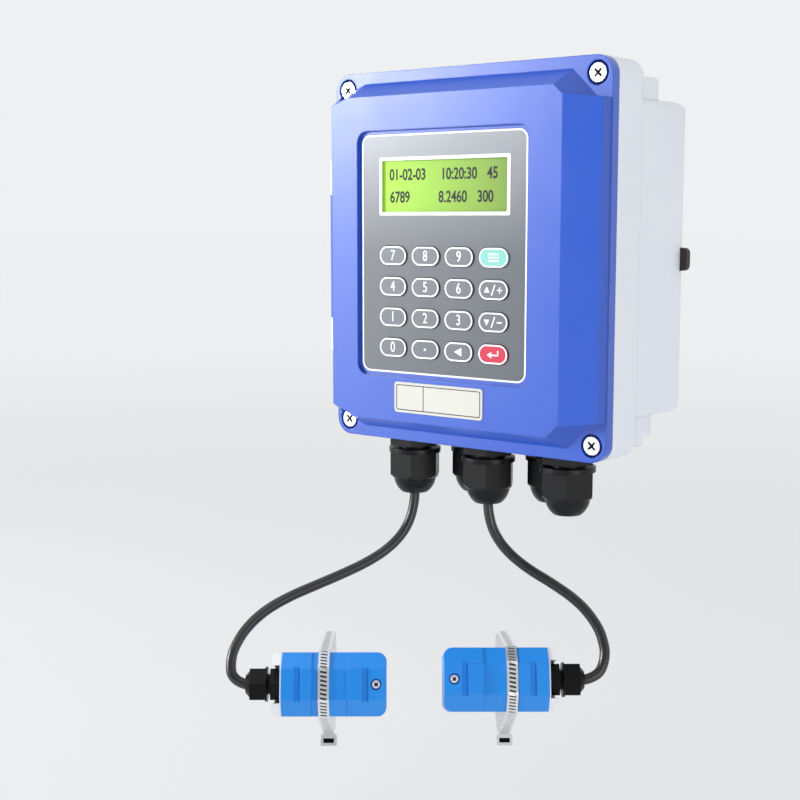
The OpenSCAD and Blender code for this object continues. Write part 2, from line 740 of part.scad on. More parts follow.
// Main board with its transformer, capacitors and small parts
module main_board() {
    color("darkgreen") difference() {
        slab(board_front, board_y) translate([0, board_z]) square([board_width, board_height], center = true);
        for (p = board_screw_places) rod(p, small_screw_r, board_front - over, board_y + over);
    }
    color("dimgray") translate([0, 0, board_z]) {
        slab(board_front - transformer_depth, board_front)
            translate([-board_width / 4, board_height / 6]) square([transformer_width, transformer_height], center = true);
        for (k = [0, 1])
            rod([board_width / 6 + k * capacitor_r * 2.4, board_height / 4], capacitor_r,
                board_front - capacitor_length, board_front);
        slab(board_front - 2 * board_thick, board_front)
            translate([board_width / 4, -board_height / 12]) square(transformer_height / 2, center = true);
        slab(board_front - 4 * board_thick, board_front)
            translate([-board_width / 4, -board_height / 9])
                square([transformer_width, terminal_height], center = true);
    }
}

module terminal_blocks() {
    color("darkslategray") for (k = [-1, 0, 1]) difference() {
        slab(board_front - terminal_depth, board_front)
            translate([k * (terminal_width + over), board_z - board_height / 2 + terminal_height / 2 + board_screw_inset * 2])
                square([terminal_width, terminal_height], center = true);
        for (n = [-2 : 2])
            rod([k * (terminal_width + over) + n * terminal_pitch,
                 board_z - board_height / 2 + terminal_height / 2 + board_screw_inset * 2],
                terminal_well_r, board_front - terminal_depth - over, board_front - terminal_depth / 2);
    }
}

module board_standoffs() {
    color("gold") for (p = board_screw_places) difference() {
        rod(p, standoff_r, board_y, -back_wall);
        rod(p, small_screw_r, board_y - over, -back_wall - standoff_h / 3);
    }
}

// Screws that hold the main board, and the two that hold the wall bar
module case_screws() {
    color("silver") {
        for (p = board_screw_places) {
            rod(p, small_head_r, board_front - small_head_h, board_front);
            rod(p, small_screw_r, board_front - small_head_h, -back_wall - standoff_h / 3);
        }
        for (x = [-1, 1]) {
            rod([x * bar_screw_pitch / 2, 0], small_head_r, -back_wall - rib_depth - small_head_h, -back_wall - rib_depth);
            rod([x * bar_screw_pitch / 2, 0], small_screw_r, -back_wall - rib_depth - small_head_h, -bar_thick / 3);
        }
    }
}

module wall_bar() {
    color("black") difference() {
        slab(-bar_thick, 0) rounded(bar_length, bar_height, bar_corner_r);
        for (x = [-1, 1]) {
            rod([x * wall_hole_pitch / 2, 0], wall_hole_d / 2, -bar_thick - over, over);
            rod([x * bar_screw_pitch / 2, 0], small_screw_r, -bar_thick - over, -bar_thick / 3);
        }
    }
}

// Places its children on a case gland's axis, +Z pointing down out of the case
module at_gland(k) {
    translate([gland_places[k][0], gland_places[k][1], platform_z]) rotate([180, 0, 0]) children();
}

module hexagon(af, h) {
    cylinder(d = af * hex_ratio, h = h, $fn = 6);
}

module gland_bodies() {
    color("black") for (k = [0 : 4]) at_gland(k) difference() {
        union() {
            hexagon(gland_af, gland_collar);
            translate([0, 0, -gland_thread]) cylinder(r = gland_thread_r, h = gland_thread);
            cylinder(r = gland_neck_r, h = gland_collar + gland_neck);
        }
        translate([0, 0, -gland_thread - over])
            cylinder(r = gland_bore_r, h = gland_thread + gland_collar + gland_neck + 2 * over);
    }
}

module gland_seals() {
    color("dimgray") for (k = [0 : 4]) at_gland(k) translate([0, 0, gland_collar + gland_neck - seal_length])
        difference() {
            cylinder(r = gland_bore_r, h = seal_length);
            translate([0, 0, -over]) cylinder(r = k < 2 ? cable_r : spare_bore_r, h = seal_length + 2 * over);
        }
}

module gland_locknuts() {
    color("black") for (k = [0 : 4]) at_gland(k) translate([0, 0, -pocket_floor - locknut_h]) difference() {
        hexagon(gland_af, locknut_h);
        translate([0, 0, -over]) cylinder(r = gland_thread_r, h = locknut_h + 2 * over);
    }
}

// Dome nut of the case gland k: round lip, hexagon with its lower corners chamfered, dome
module gland_nut(k) {
    start = gland_collar + nut_gap;
    hex_start = start + nut_lip;
    hex_end = hex_start + nut_hex;
    tip = hex_end + nut_dome;
    corner = gland_af * hex_ratio / 2;
    color("black") at_gland(k) difference() {
        union() {
            translate([0, 0, start]) cylinder(r = nut_lip_r, h = nut_lip);
            intersection() {
                translate([0, 0, hex_start]) hexagon(gland_af, nut_hex);
                translate([0, 0, hex_end - nut_chamfer - nut_hex])
                    cylinder(r1 = corner + nut_hex, r2 = corner - nut_chamfer, h = nut_chamfer + nut_hex);
            }
            intersection() {
                translate([0, 0, hex_end]) cylinder(r = nut_dome_r + over, h = nut_dome);
                translate([0, 0, tip - sqrt(nut_dome_r * nut_dome_r - nut_end_r * nut_end_r)]) sphere(r = nut_dome_r);
            }
        }
        translate([0, 0, start - over])
            cylinder(r = gland_neck_r + nut_clear, h = gland_neck - nut_gap + 2 * over);
        translate([0, 0, start - over]) cylinder(r = nut_mouth_r, h = tip - start + 2 * over);
    }
}

module gland_nut_1() gland_nut(0);
module gland_nut_2() gland_nut(1);
module gland_nut_3() gland_nut(2);
module gland_nut_4() gland_nut(3);
module gland_nut_5() gland_nut(4);

// Cuts a sloping face through a corner of the raised front, from its foot on the rim
module corner_cut(foot, turn, slope) {
    translate([foot[0], rim_y, foot[1]]) rotate([0, turn, 0]) rotate([slope, 0, 0])
        translate([-case_corner_r * 3, -raise * 4, 0]) cube([case_corner_r * 6, raise * 8, case_corner_r * 3]);
}

module raised_front() {
    foot_left = raise_left + raise_spread * 2;
    foot_right = raise_right + raise_spread;
    difference() {
        intersection() {
            translate([0, 0, -ramp_foot]) linear_extrude(2 * ramp_foot)
                polygon([[-foot_left, rim_y + over], [-foot_left, rim_y], [-raise_left, top_y], [crease_x, top_y],
                         [raise_right, top_y + facet_fall], [foot_right, rim_y], [foot_right, rim_y + over]]);
            translate([-half_width, 0, 0]) rotate([0, 90, 0]) linear_extrude(case_width)
                polygon([[-ramp_foot, rim_y + over], [-ramp_foot, rim_y], [-raise_top, top_y],
                         [raise_bottom, top_y], [ramp_foot, rim_y], [ramp_foot, rim_y + over]]);
        }
        for (side = [0, 1]) mirror([0, 0, side]) {
            intersection() {
                corner_cut(left_cut_foot, left_cut_turn, left_cut_slope);
                translate([-case_width, top_y - over, 0]) cube([case_width, raise + over, case_height]);
            }
            intersection() {
                corner_cut(right_cut_foot, right_cut_turn, right_cut_slope);
                translate([right_wall_start[0], 0, right_wall_start[1]]) rotate([0, right_wall_turn, 0])
                    translate([-case_corner_r * 2, top_y - over, 0])
                        cube([case_corner_r * 6, raise + over, case_corner_r * 2]);
            }
        }
    }
}

module cover() {
    panel_place = [panel_x, panel_z];
    color("royalblue") difference() {
        union() {
            difference() {
                union() {
                    slab(rim_y, parting_y) case_outline();
                    raised_front();
                }
                slab(hollow_y, parting_y + over) square([hollow_width, hollow_height], center = true);
                side_left = panel_x + panel_width / 2 + recess_rim * 4;
                slab(parting_y - side_hollow_depth, parting_y)
                    translate([(side_left + hollow_width / 2) / 2, 0])
                        square([hollow_width / 2 - side_left, hollow_height], center = true);
                for (s = [-1, 1])
                    hinge_rod(barrel_r + barrel_clear,
                              s > 0 ? knuckle_half : -knuckle_half - knuckle_length - 2 * knuckle_gap,
                              s > 0 ? knuckle_half + knuckle_length + 2 * knuckle_gap : -knuckle_half);
                slab(top_y - over, panel_y) translate(panel_place)
                    rounded(panel_width + 2 * recess_rim, panel_height + 2 * recess_rim, panel_corner_r + recess_rim / 2);
                slab(panel_y - over, floor_y) translate(panel_place)
                    rounded(panel_width, panel_height, panel_corner_r);
            }
            hinge_rod(barrel_r, -knuckle_half, knuckle_half);
            translate([-hinge_x, rim_y + rim_depth / 8, -knuckle_half])
                cube([hinge_x - half_width + over, rim_depth * 0.85, 2 * knuckle_half]);
            for (p = display_screw_places) rod(p, display_boss_r, hollow_y - over / 2, display_front);
        }
        hinge_rod(pin_r + pin_clear, -half_height, half_height);
        slab(floor_y - over, hollow_y + over) translate([window_x, window_z])
            rounded(window_width - 2 * window_ledge, window_height - 2 * window_ledge, window_corner_r);
        for (c = [0 : 3], r = [0 : 3])
            slab(floor_y - over / 2, hollow_y + over) translate([key_x + c * key_pitch_x, key_z - r * key_pitch_z])
                obround(key_width + 2 * key_foot + 2 * key_gap, key_height + 2 * key_foot + 2 * key_gap);
        for (p = screw_places) {
            rod(p, counterbore_d / 2, top_y - over, parting_y - screw_web);
            rod(p, web_hole_d / 2, top_y - over, parting_y + over);
        }
        for (p = display_screw_places) rod(p, small_screw_r, hollow_y, parting_y);
    }
}

module front_panel() {
    color("lightgray") slab(panel_y, floor_y) difference() {
        translate([panel_x, panel_z]) rounded(panel_width, panel_height, panel_corner_r);
        translate([window_x, window_z]) rounded(window_width, window_height, window_corner_r);
        for (c = [0 : 3], r = [0 : 3]) translate([key_x + c * key_pitch_x, key_z - r * key_pitch_z])
            obround(key_width + 2 * key_gap, key_height + 2 * key_gap);
    }
}

module lcd_window() {
    color("lightgreen", 0.5) slab(panel_y, floor_y) translate([window_x, window_z])
        rounded(window_width, window_height, window_corner_r);
}

module lcd_module() {
    color("yellowgreen") slab(display_front - module_thick - glass_depth, display_front - module_thick)
        translate([window_x, window_z]) square([glass_width, glass_height], center = true);
    color("darkgreen") slab(display_front - module_thick, display_front)
        translate([window_x, window_z]) square([module_width, module_height], center = true);
}

module keypad_circuit() {
    centre_x = key_x + key_pitch_x * 1.5;
    centre_z = key_z - key_pitch_z * 1.5;
    color("orange") slab(hollow_y, hollow_y + circuit_thick) translate([centre_x, centre_z])
        square([key_pitch_x * 4 + 2 * over, key_pitch_z * 4], center = true);
    color("silver") for (c = [0 : 3], r = [0 : 3])
        rod([key_x + c * key_pitch_x, key_z - r * key_pitch_z], dome_r, hollow_y - dome_h, hollow_y);
}

module display_board() {
    color("darkgreen") difference() {
        slab(display_front, display_front + board_thick) translate([display_x, 0])
            square([display_width, display_height], center = true);
        for (p = display_screw_places) rod(p, small_screw_r, display_front - over, 0);
    }
    color("dimgray") slab(display_front + board_thick, display_front + 2 * board_thick)
        translate([display_x, -display_height / 5]) square([module_height, module_height / 2], center = true);
}

module display_screws() {
    color("silver") for (p = display_screw_places) {
        rod(p, small_head_r, display_front + board_thick, display_front + board_thick + small_head_h);
        rod(p, small_screw_r, hollow_y, display_front + board_thick + small_head_h);
    }
}

// One key: cap, foot behind the panel, plunger
module keycap(c, r, tint) {
    place = [key_x + c * key_pitch_x, key_z - r * key_pitch_z];
    foot_front = floor_y + key_play;
    color(tint) {
        slab(panel_y - key_proud, foot_front + over / 2) translate(place) obround(key_width, key_height);
        slab(foot_front, foot_front + key_foot_depth) translate(place)
            obround(key_width + 2 * key_foot, key_height + 2 * key_foot);
        rod(place, plunger_r, foot_front, foot_front + key_foot_depth + plunger_length);
    }
}

module key_7() keycap(0, 0, "slategray");
module key_8() keycap(1, 0, "slategray");
module key_9() keycap(2, 0, "slategray");
module key_menu() keycap(3, 0, "mediumaquamarine");
module key_4() keycap(0, 1, "slategray");
module key_5() keycap(1, 1, "slategray");
module key_6() keycap(2, 1, "slategray");
module key_up() keycap(3, 1, "slategray");
module key_1() keycap(0, 2, "slategray");
module key_2() keycap(1, 2, "slategray");
module key_3() keycap(2, 2, "slategray");
module key_down() keycap(3, 2, "slategray");
module key_0() keycap(0, 3, "slategray");
module key_point() keycap(1, 3, "slategray");
module key_back() keycap(2, 3, "slategray");
module key_enter() keycap(3, 3, "crimson");

// Cover screw, standing a little loose so that the cover can open
module cover_screw(k) {
    p = screw_places[k];
    color("silver") difference() {
        union() {
            rod(p, screw_head_d / 2, rim_y, rim_y + screw_head_h);
            rod(p, screw_shank_d / 2, rim_y, parting_y + screw_reach);
        }
        translate([p[0], 0, p[1]]) for (turn = [45, 135]) rotate([0, turn, 0]) slab(rim_y - over, rim_y + cross_depth)
            square([cross_length, cross_width], center = true);
    }
}

module cover_screw_top_left() cover_screw(0);
module cover_screw_top_right() cover_screw(1);
module cover_screw_bottom_left() cover_screw(2);
module cover_screw_bottom_right() cover_screw(3);

// Places its children on the pipe axis at a sensor's centre: +Z out of the sensor's face, +X towards its closed end
module at_sensor(side) {
    translate(pipe_mid) rotate([0, 0, pipe_turn]) translate([side * sensor_offset, 0, 0])
        rotate([90 - lean(side), 0, 0]) rotate([0, 0, side > 0 ? 180 : 0]) children();
}

// Outline of a sensor across the pipe, drawn in its y and z
module sensor_section(top, half) {
    polygon([[-half, pipe_r], [half, pipe_r], [half, top - flank_drop], [half - flank_drop, top],
             [flank_drop - half, top], [-half, top - flank_drop]]);
}

module along_pipe(from, to) {
    translate([from, 0, 0]) rotate([90, 0, 90]) linear_extrude(to - from) children();
}

module sensor_cover(side) {
    inner_end = sensor_half - sensor_wall;
    start = end_thick - sensor_half;
    boss_r = sensor_head_hole_d / 2 + sensor_wall / 2;
    color("dodgerblue") at_sensor(side) difference() {
        union() {
            intersection() {
                along_pipe(start, sensor_half) sensor_section(sensor_top, sensor_width / 2);
                translate([-sensor_corner_r, 0, 0]) linear_extrude(sensor_top)
                    rounded(sensor_length + 2 * sensor_corner_r, sensor_width, sensor_corner_r);
            }
            along_pipe(-groove_a, groove_b) translate([-facet_width / 2, sensor_top - over])
                square([facet_width, pad_rise + over]);
        }
        difference() {
            along_pipe(start - over, inner_end) sensor_section(sensor_top - sensor_wall * 1.4, sensor_width / 2 - sensor_wall);
            translate([sensor_half - sensor_screw_inset, 0, post_top]) cylinder(r = boss_r, h = sensor_top);
        }
        translate([-sensor_length, -sensor_width, 0]) cube([2 * sensor_length, 2 * sensor_width, pipe_r + sole_thick]);
        difference() {
            along_pipe(-seat_width / 2, seat_width / 2) square([2 * sensor_width, 4 * sensor_top], center = true);
            along_pipe(-seat_width, seat_width) sensor_section(sensor_top - seat_depth, sensor_width / 2);
        }
        for (x = [-groove_a, groove_b]) translate([x - groove_width / 2, -sensor_width, sensor_top - groove_depth])
            cube([groove_width, 2 * sensor_width, groove_depth + pad_rise + over]);
        translate([sensor_half - sensor_screw_inset, 0, sensor_top - groove_width])
            cylinder(d = sensor_head_hole_d, h = groove_width + over);
        translate([sensor_half - sensor_screw_inset, 0, 0]) cylinder(r = small_screw_r, h = sensor_top);
    }
}

module sensor_cover_left() sensor_cover(-1);
module sensor_cover_right() sensor_cover(1);

// White body: sole, end plate with the gland, wedge under the crystal
module sensor_base(side) {
    rise = crystal_r * 2 * sin(crystal_slope);
    run = crystal_r * 2 * cos(crystal_slope);
    color("whitesmoke") at_sensor(side) difference() {
        union() {
            intersection() {
                translate([-sensor_half, -sensor_width / 2, pipe_r]) cube([sensor_length, sensor_width, sole_thick]);
                translate([-sensor_corner_r, 0, 0]) linear_extrude(sensor_top)
                    rounded(sensor_length + 2 * sensor_corner_r, sensor_width, sensor_corner_r);
            }
            intersection() {
                along_pipe(-sensor_half, end_thick - sensor_half)
                    sensor_section(sensor_top - seat_depth, sensor_width / 2);
                translate([sensor_half, 0, 0]) linear_extrude(sensor_top)
                    rounded(2 * sensor_length, sensor_width, end_corner_r);
            }
            translate([0, crystal_r + over, 0]) rotate([90, 0, 0]) linear_extrude(2 * crystal_r + 2 * over)
                polygon([[-run, pipe_r + over], [0, pipe_r + over], [0, pipe_r + sole_thick + rise],
                         [-run, pipe_r + sole_thick]]);
            translate([sensor_half - sensor_screw_inset, 0, pipe_r + over])
                cylinder(r = sensor_post_r, h = post_top - pipe_r - over);
        }
        translate([sensor_half - sensor_screw_inset, 0, sensor_top - groove_width - sensor_screw_length])
            cylinder(r = small_screw_r, h = sensor_height);
        translate([-sensor_half - over, 0, gland_z]) rotate([0, 90, 0]) {
            cylinder(r = cable_r + sensor_nut_clear, h = end_thick + 2 * over);
            cylinder(d = sensor_gland_af * hex_ratio + gland_room, h = gland_sunk + over);
        }
        translate([-sensor_half - over, -(sensor_gland_af * hex_ratio + gland_room) / 2, gland_z])
            cube([gland_sunk + over, sensor_gland_af * hex_ratio + gland_room, sensor_height]);
    }
}

module sensor_base_left() sensor_base(-1);
module sensor_base_right() sensor_base(1);

module piezo_crystals() {
    run = crystal_r * 2 * cos(crystal_slope);
    rise = crystal_r * 2 * sin(crystal_slope);
    color("khaki") for (side = [-1, 1]) at_sensor(side)
        translate([-run / 2, 0, pipe_r + sole_thick + rise / 2]) rotate([0, -crystal_slope, 0])
            cylinder(r = crystal_r, h = crystal_thick);
}

// Places its children on a sensor gland's axis, +Z away from the sensor
module at_sensor_gland(side) {
    at_sensor(side) translate([gland_sunk - sensor_half, 0, gland_z]) rotate([0, -90, 0]) children();
}

module sensor_gland_bodies() {
    color("black") for (side = [-1, 1]) at_sensor_gland(side) difference() {
        union() {
            hexagon(sensor_gland_af, sensor_gland_collar);
            cylinder(r = sensor_gland_neck_r, h = sensor_gland_collar + sensor_gland_neck);
        }
        translate([0, 0, -over]) cylinder(r = cable_r, h = sensor_gland_collar + sensor_gland_neck + 2 * over);
    }
}

module sensor_gland_nut(side) {
    start = sensor_gland_collar + sensor_nut_gap;
    color("black") at_sensor_gland(side) difference() {
        union() {
            translate([0, 0, start]) cylinder(r = sensor_nut_lip_r, h = sensor_nut_lip);
            translate([0, 0, start]) hexagon(sensor_gland_af, sensor_nut);
            translate([0, 0, start + sensor_nut])
                cylinder(r1 = sensor_gland_af / 2 - over / 2, r2 = sensor_nut_tip_r, h = sensor_nut_tip);
        }
        translate([0, 0, start - over])
            cylinder(r = sensor_gland_neck_r + nut_clear, h = sensor_gland_neck - sensor_nut_gap + over + nut_clear);
        translate([0, 0, start - over])
            cylinder(r = cable_r + sensor_nut_clear, h = sensor_nut + sensor_nut_tip + 2 * over);
    }
}

module sensor_gland_nut_left() sensor_gland_nut(-1);
module sensor_gland_nut_right() sensor_gland_nut(1);

module sensor_screws() {
    head_z = sensor_top - groove_width;
    color("silver") for (side = [-1, 1]) at_sensor(side) translate([sensor_half - sensor_screw_inset, 0, 0]) {
        translate([0, 0, head_z]) difference() {
            cylinder(d = sensor_head_d, h = small_head_h);
            for (turn = [45, 135]) rotate([0, 0, turn]) translate([0, 0, small_head_h])
                cube([sensor_head_d * 0.6, slot_width, small_head_h], center = true);
        }
        translate([0, 0, head_z - sensor_screw_length]) cylinder(r = small_screw_r, h = sensor_screw_length + over / 2);
    }
}

// Outward step to the outer corner between two faces, from their normals' angles
function miter(a, b) = [cos((a + b) / 2), sin((a + b) / 2)] / cos((a - b) / 2);

// Outline of a clamp band's inner or outer side, drawn in the sensor's y and z
module band_outline(extra) {
    radius = pipe_r + extra;
    low = [flank_y, flank_z] + extra * miter(band_angle, 45);
    high = [flank_y - flank_drop, seat_top] + extra * miter(45, 90);
    circle(r = radius);
    polygon([[0, 0], radius * [cos(band_angle), sin(band_angle)], low, high, [-high[0], high[1]], [-low[0], low[1]],
             radius * [-cos(band_angle), sin(band_angle)]]);
}

module band_section() {
    difference() {
        band_outline(band_thick);
        band_outline(0);
    }
}

module clamp_band(side, shift) {
    color("silver") at_sensor(side) along_pipe(-shift - band_width / 2, band_width / 2 - shift) band_section();
}

module clamp_band_left() clamp_band(-1, band_shift_left);
module clamp_band_right() clamp_band(1, band_shift_right);

// Places its children at a worm's middle, +Z along the worm towards the front
module at_worm(side) {
    at_sensor(side) mirror([0, side > 0 ? 1 : 0, 0])
        translate([side > 0 ? -band_shift_right : -band_shift_left, worm_y, 0]) children();
}

module worm_housings() {
    color("silver") for (side = [-1, 1]) difference() {
        at_worm(side) translate([-housing_width / 2, -housing_height / 2, -housing_length / 2])
            cube([housing_width, housing_height + band_thick, housing_length]);
        at_sensor(side) along_pipe(-sensor_length, sensor_length) circle(r = pipe_r + band_thick + band_play);
        at_worm(side) {
            translate([0, 0, -housing_length])
                cylinder(r = worm_r + worm_clear, h = housing_length * 1.5 - mouth_depth);
            translate([mouth_wall - housing_width / 2, mouth_wall - housing_height / 2, housing_length / 2 - mouth_depth])
                cube([housing_width - 2 * mouth_wall, housing_height - 2 * mouth_wall, mouth_depth + over]);
        }
    }
}

// Worm screw with its head at the housing's rear end
module worm_screw(side) {
    color("gray") at_worm(side) mirror([0, 0, 1]) difference() {
        union() {
            translate([0, 0, mouth_depth + worm_gap - housing_length / 2])
                cylinder(r = worm_r, h = housing_length - mouth_depth + over / 2);
            translate([0, 0, housing_length / 2 + worm_gap]) cylinder(r = worm_head_r, h = worm_head_h);
        }
        translate([0, 0, housing_length / 2 + worm_gap + worm_head_h])
            cube([slot_width, 4 * worm_head_r, 2 * slot_depth], center = true);
    }
}

module worm_screw_left() worm_screw(-1);
module worm_screw_right() worm_screw(1);

// A tube of ten sides swept along a route

function unit(v) = v / norm(v);

function tangent(route, k) =
    unit(route[min(k + 1, len(route) - 1)] - route[max(k - 1, 0)]);

// Smooths a route: Catmull-Rom points between the given ones
function smooth(route, steps) = [
    for (k = [0 : len(route) - 2], n = [0 : steps - 1])
        let (a = route[max(k - 1, 0)], b = route[k], c = route[k + 1], d = route[min(k + 2, len(route) - 1)], t = n / steps)
            0.5 * (2 * b + (c - a) * t + (2 * a - 5 * b + 4 * c - d) * t * t + (3 * b - a - 3 * c + d) * t * t * t),
    route[len(route) - 1]];

// Side vectors carried along the route without twist
function carried(route, k, before, list) =
    k == len(route) ? list
    : let (t = tangent(route, k), side = unit(before - (before * t) * t))
        carried(route, k + 1, side, concat(list, [side]));

module tube(route, r) {
    sides_list = carried(route, 0, unit(cross(tangent(route, 0), [1, 0.3, 0])), []);
    rings = [for (k = [0 : len(route) - 1])
        let (t = tangent(route, k), u = sides_list[k], v = cross(t, u))
            for (n = [0 : sides - 1]) route[k] + r * (cos(n * 360 / sides) * u + sin(n * 360 / sides) * v)];
    last = len(route) - 1;
    faces = concat(
        [[for (n = [0 : sides - 1]) n]],
        [for (k = [0 : last - 1], n = [0 : sides - 1])
            [k * sides + n, (k + 1) * sides + n, (k + 1) * sides + (n + 1) % sides, k * sides + (n + 1) % sides]],
        [[for (n = [sides - 1 : -1 : 0]) last * sides + n]]);
    polyhedron(points = rings, faces = faces, convexity = 8);
}

module cable_left() {
    color([0.12, 0.12, 0.13]) tube(smooth(left_route, 2), cable_r);
}

module cable_right() {
    color([0.12, 0.12, 0.13]) tube(smooth(right_route, 2), cable_r);
}

case_base();
cover_gasket();
hinge_pin();
screw_inserts();
main_board();
terminal_blocks();
board_standoffs();
case_screws();
wall_bar();
gland_bodies();
gland_seals();
gland_locknuts();
gland_nut_1();
gland_nut_2();
gland_nut_3();
gland_nut_4();
gland_nut_5();
cover();
front_panel();
lcd_window();
lcd_module();
keypad_circuit();
display_board();
display_screws();
key_7();
key_8();
key_9();
key_menu();
key_4();
key_5();
key_6();
key_up();
key_1();
key_2();
key_3();
key_down();
key_0();
key_point();
key_back();
key_enter();
cover_screw_top_left();
cover_screw_top_right();
cover_screw_bottom_left();
cover_screw_bottom_right();
sensor_cover_left();
sensor_cover_right();
sensor_base_left();
sensor_base_right();
piezo_crystals();
sensor_gland_bodies();
sensor_gland_nut_left();
sensor_gland_nut_right();
sensor_screws();
clamp_band_left();
clamp_band_right();
worm_housings();
worm_screw_left();
worm_screw_right();
cable_left();
cable_right();
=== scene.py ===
import math

import bmesh
import bpy
from mathutils import Matrix, Vector


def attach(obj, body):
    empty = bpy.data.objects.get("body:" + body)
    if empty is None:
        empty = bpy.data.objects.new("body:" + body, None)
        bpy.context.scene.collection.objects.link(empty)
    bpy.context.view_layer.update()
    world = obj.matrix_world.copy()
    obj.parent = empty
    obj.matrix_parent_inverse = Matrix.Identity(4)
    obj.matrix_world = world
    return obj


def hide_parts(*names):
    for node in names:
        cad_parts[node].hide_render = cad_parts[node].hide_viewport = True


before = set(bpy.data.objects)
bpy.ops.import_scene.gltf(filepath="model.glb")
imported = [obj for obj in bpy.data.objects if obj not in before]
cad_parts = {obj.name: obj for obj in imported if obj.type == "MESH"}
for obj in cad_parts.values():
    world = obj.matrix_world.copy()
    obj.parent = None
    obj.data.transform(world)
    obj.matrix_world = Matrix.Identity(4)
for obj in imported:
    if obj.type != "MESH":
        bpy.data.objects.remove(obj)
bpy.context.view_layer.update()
millimetre = 0.001
sides = {"left": -1, "right": 1}
square = ((-1, -1), (1, -1), (1, 1), (-1, 1))


def placeObject(name, data):
    thing = bpy.data.objects.new(name, data)
    bpy.context.scene.collection.objects.link(thing)
    return thing


# Turns a curve or a text into a mesh where it stands, and takes the curve away
def meshFromCurve(source):
    bpy.context.view_layer.update()
    mesh = bpy.data.meshes.new_from_object(source.evaluated_get(bpy.context.evaluated_depsgraph_get()))
    mesh.transform(source.matrix_world)
    bpy.data.objects.remove(source)
    return mesh


# Camera, at the photograph's viewing angle: metres and degrees
cameraSettings = {
    "place": (0.3298, -0.5106, 0.0160),
    "turn": 38.65,
    "drop": 7.32,
    "lens": 63.585,
    "sensorWidth": 36,
    "nearest": 0.01,
}


def makeCamera():
    data = bpy.data.cameras.new("camera")
    data.lens = cameraSettings["lens"]
    data.sensor_width = cameraSettings["sensorWidth"]
    data.clip_start = cameraSettings["nearest"]
    camera = placeObject("camera", data)
    camera.location = cameraSettings["place"]
    tilt = 90 - cameraSettings["drop"]
    camera.rotation_euler = (math.radians(tilt), 0, math.radians(cameraSettings["turn"]))
    bpy.context.scene.camera = camera


makeCamera()

# Where the sensors sit: the same numbers as in part.scad, in millimetres and degrees
sensorSeat = {
    "middle": Vector((-32, -48.8, -181.8)),
    "turn": 38.8,
    "lean": {"left": 17.9, "right": 20.2},
    "offset": 33.9,
    "radius": 21.2,
    "glandHeight": 20,
    "glandReach": (33.8, 31.85, 24.5),  # a cable's last points, from outside its gland to inside it
}


# From a sensor's own axes, with its seat's axis along x and its top at +z, to the frame's
def sensorMatrix(side):
    turn = Matrix.Rotation(math.radians(sensorSeat["turn"]), 4, "Z")
    along = Matrix.Translation((sides[side] * sensorSeat["offset"], 0, 0))
    lean = Matrix.Rotation(math.radians(90 - sensorSeat["lean"][side]), 4, "X")
    flip = Matrix.Rotation(math.pi if side == "right" else 0, 4, "Z")
    return Matrix.Translation(sensorSeat["middle"]) @ turn @ along @ lean @ flip


def glandPoints(side):
    height = sensorSeat["radius"] + sensorSeat["glandHeight"]
    return [tuple(sensorMatrix(side) @ Vector((-reach, 0, height))) for reach in sensorSeat["glandReach"]]


# Cables: the routes of part.scad, in millimetres
cables = {
    "diameter": 4.2,
    "roundness": 6,
    "steps": 5,  # straight bits between two points of a route
    "exitPoint": 2,  # the point at which a cable leaves its gland
    "left": [
        (-38.3, -40, -83.2), (-38.3, -40, -91.6), (-38.3, -40, -100), (-38.5, -40.7, -106),
        (-39, -42.5, -111.8), (-40.1, -45.4, -116.9), (-41.8, -49.3, -121.2), (-43.9, -53.9, -124.7),
        (-46.2, -58.7, -127.4), (-48.6, -63.8, -129.7), (-51, -69, -131.6), (-53.3, -74.3, -133.3),
        (-55.6, -79.7, -134.9), (-57.9, -85.1, -136.5), (-60, -90.5, -138), (-62.1, -96, -139.8),
        (-64.1, -101.3, -141.9), (-65.8, -106.5, -144.5), (-67.1, -111.4, -147.7), (-68, -115.9, -151.6),
        (-68.2, -119.9, -156.2), (-67.8, -121.9, -159.2), (-67, -123.3, -162.4), (-65.6, -124.1, -165.6),
        (-63.1, -123.4, -167.9), *glandPoints("left")],
    "right": [
        (0, -40, -83.2), (0, -40, -91.6), (0, -40, -100), (0.6, -39.8, -106), (2.3, -39.2, -111.8),
        (5.2, -38, -117), (9, -36.5, -121.4), (13.4, -34.6, -125.2), (18.1, -32.7, -128.4),
        (23.1, -30.7, -131.3), (28.1, -28.9, -134.3), (33, -27.4, -137.4), (37.7, -26.2, -141.1),
        (42, -25.7, -145.3), (45.7, -25.8, -150), (48.5, -26.9, -155.3), (49.5, -28, -158.6),
        (49.8, -29.6, -161.8), (49.3, -31.6, -164.7), (47.5, -34.1, -166.6), *glandPoints("right")],
}


def smoothRoute(route, steps):
    points = [Vector(p) for p in route]
    smooth = []
    for k in range(len(points) - 1):
        a, b, c, d = points[max(k - 1, 0)], points[k], points[k + 1], points[min(k + 2, len(points) - 1)]
        for n in range(steps):
            t = n / steps
            smooth.append(0.5 * (2 * b + (c - a) * t + (2 * a - 5 * b + 4 * c - d) * t * t
                                 + (3 * b - a - 3 * c + d) * t * t * t))
    smooth.append(points[-1])
    return smooth


def makeCable(side):
    points = [p * millimetre for p in smoothRoute(cables[side], cables["steps"])]
    curve = bpy.data.curves.new("cable-" + side, "CURVE")
    curve.dimensions = "3D"
    curve.bevel_depth = cables["diameter"] / 2 * millimetre
    curve.bevel_resolution = cables["roundness"]
    curve.use_fill_caps = True
    spline = curve.splines.new("POLY")
    spline.points.add(len(points) - 1)
    for point, place in zip(spline.points, points):
        point.co = (*place, 1)
    mesh = meshFromCurve(placeObject("line-" + side, curve))
    mesh.polygons.foreach_set("use_smooth", [True] * len(mesh.polygons))
    cable = placeObject("cable-" + side, mesh)
    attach(cable, "case")
    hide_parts("cable_" + side)
    return cable


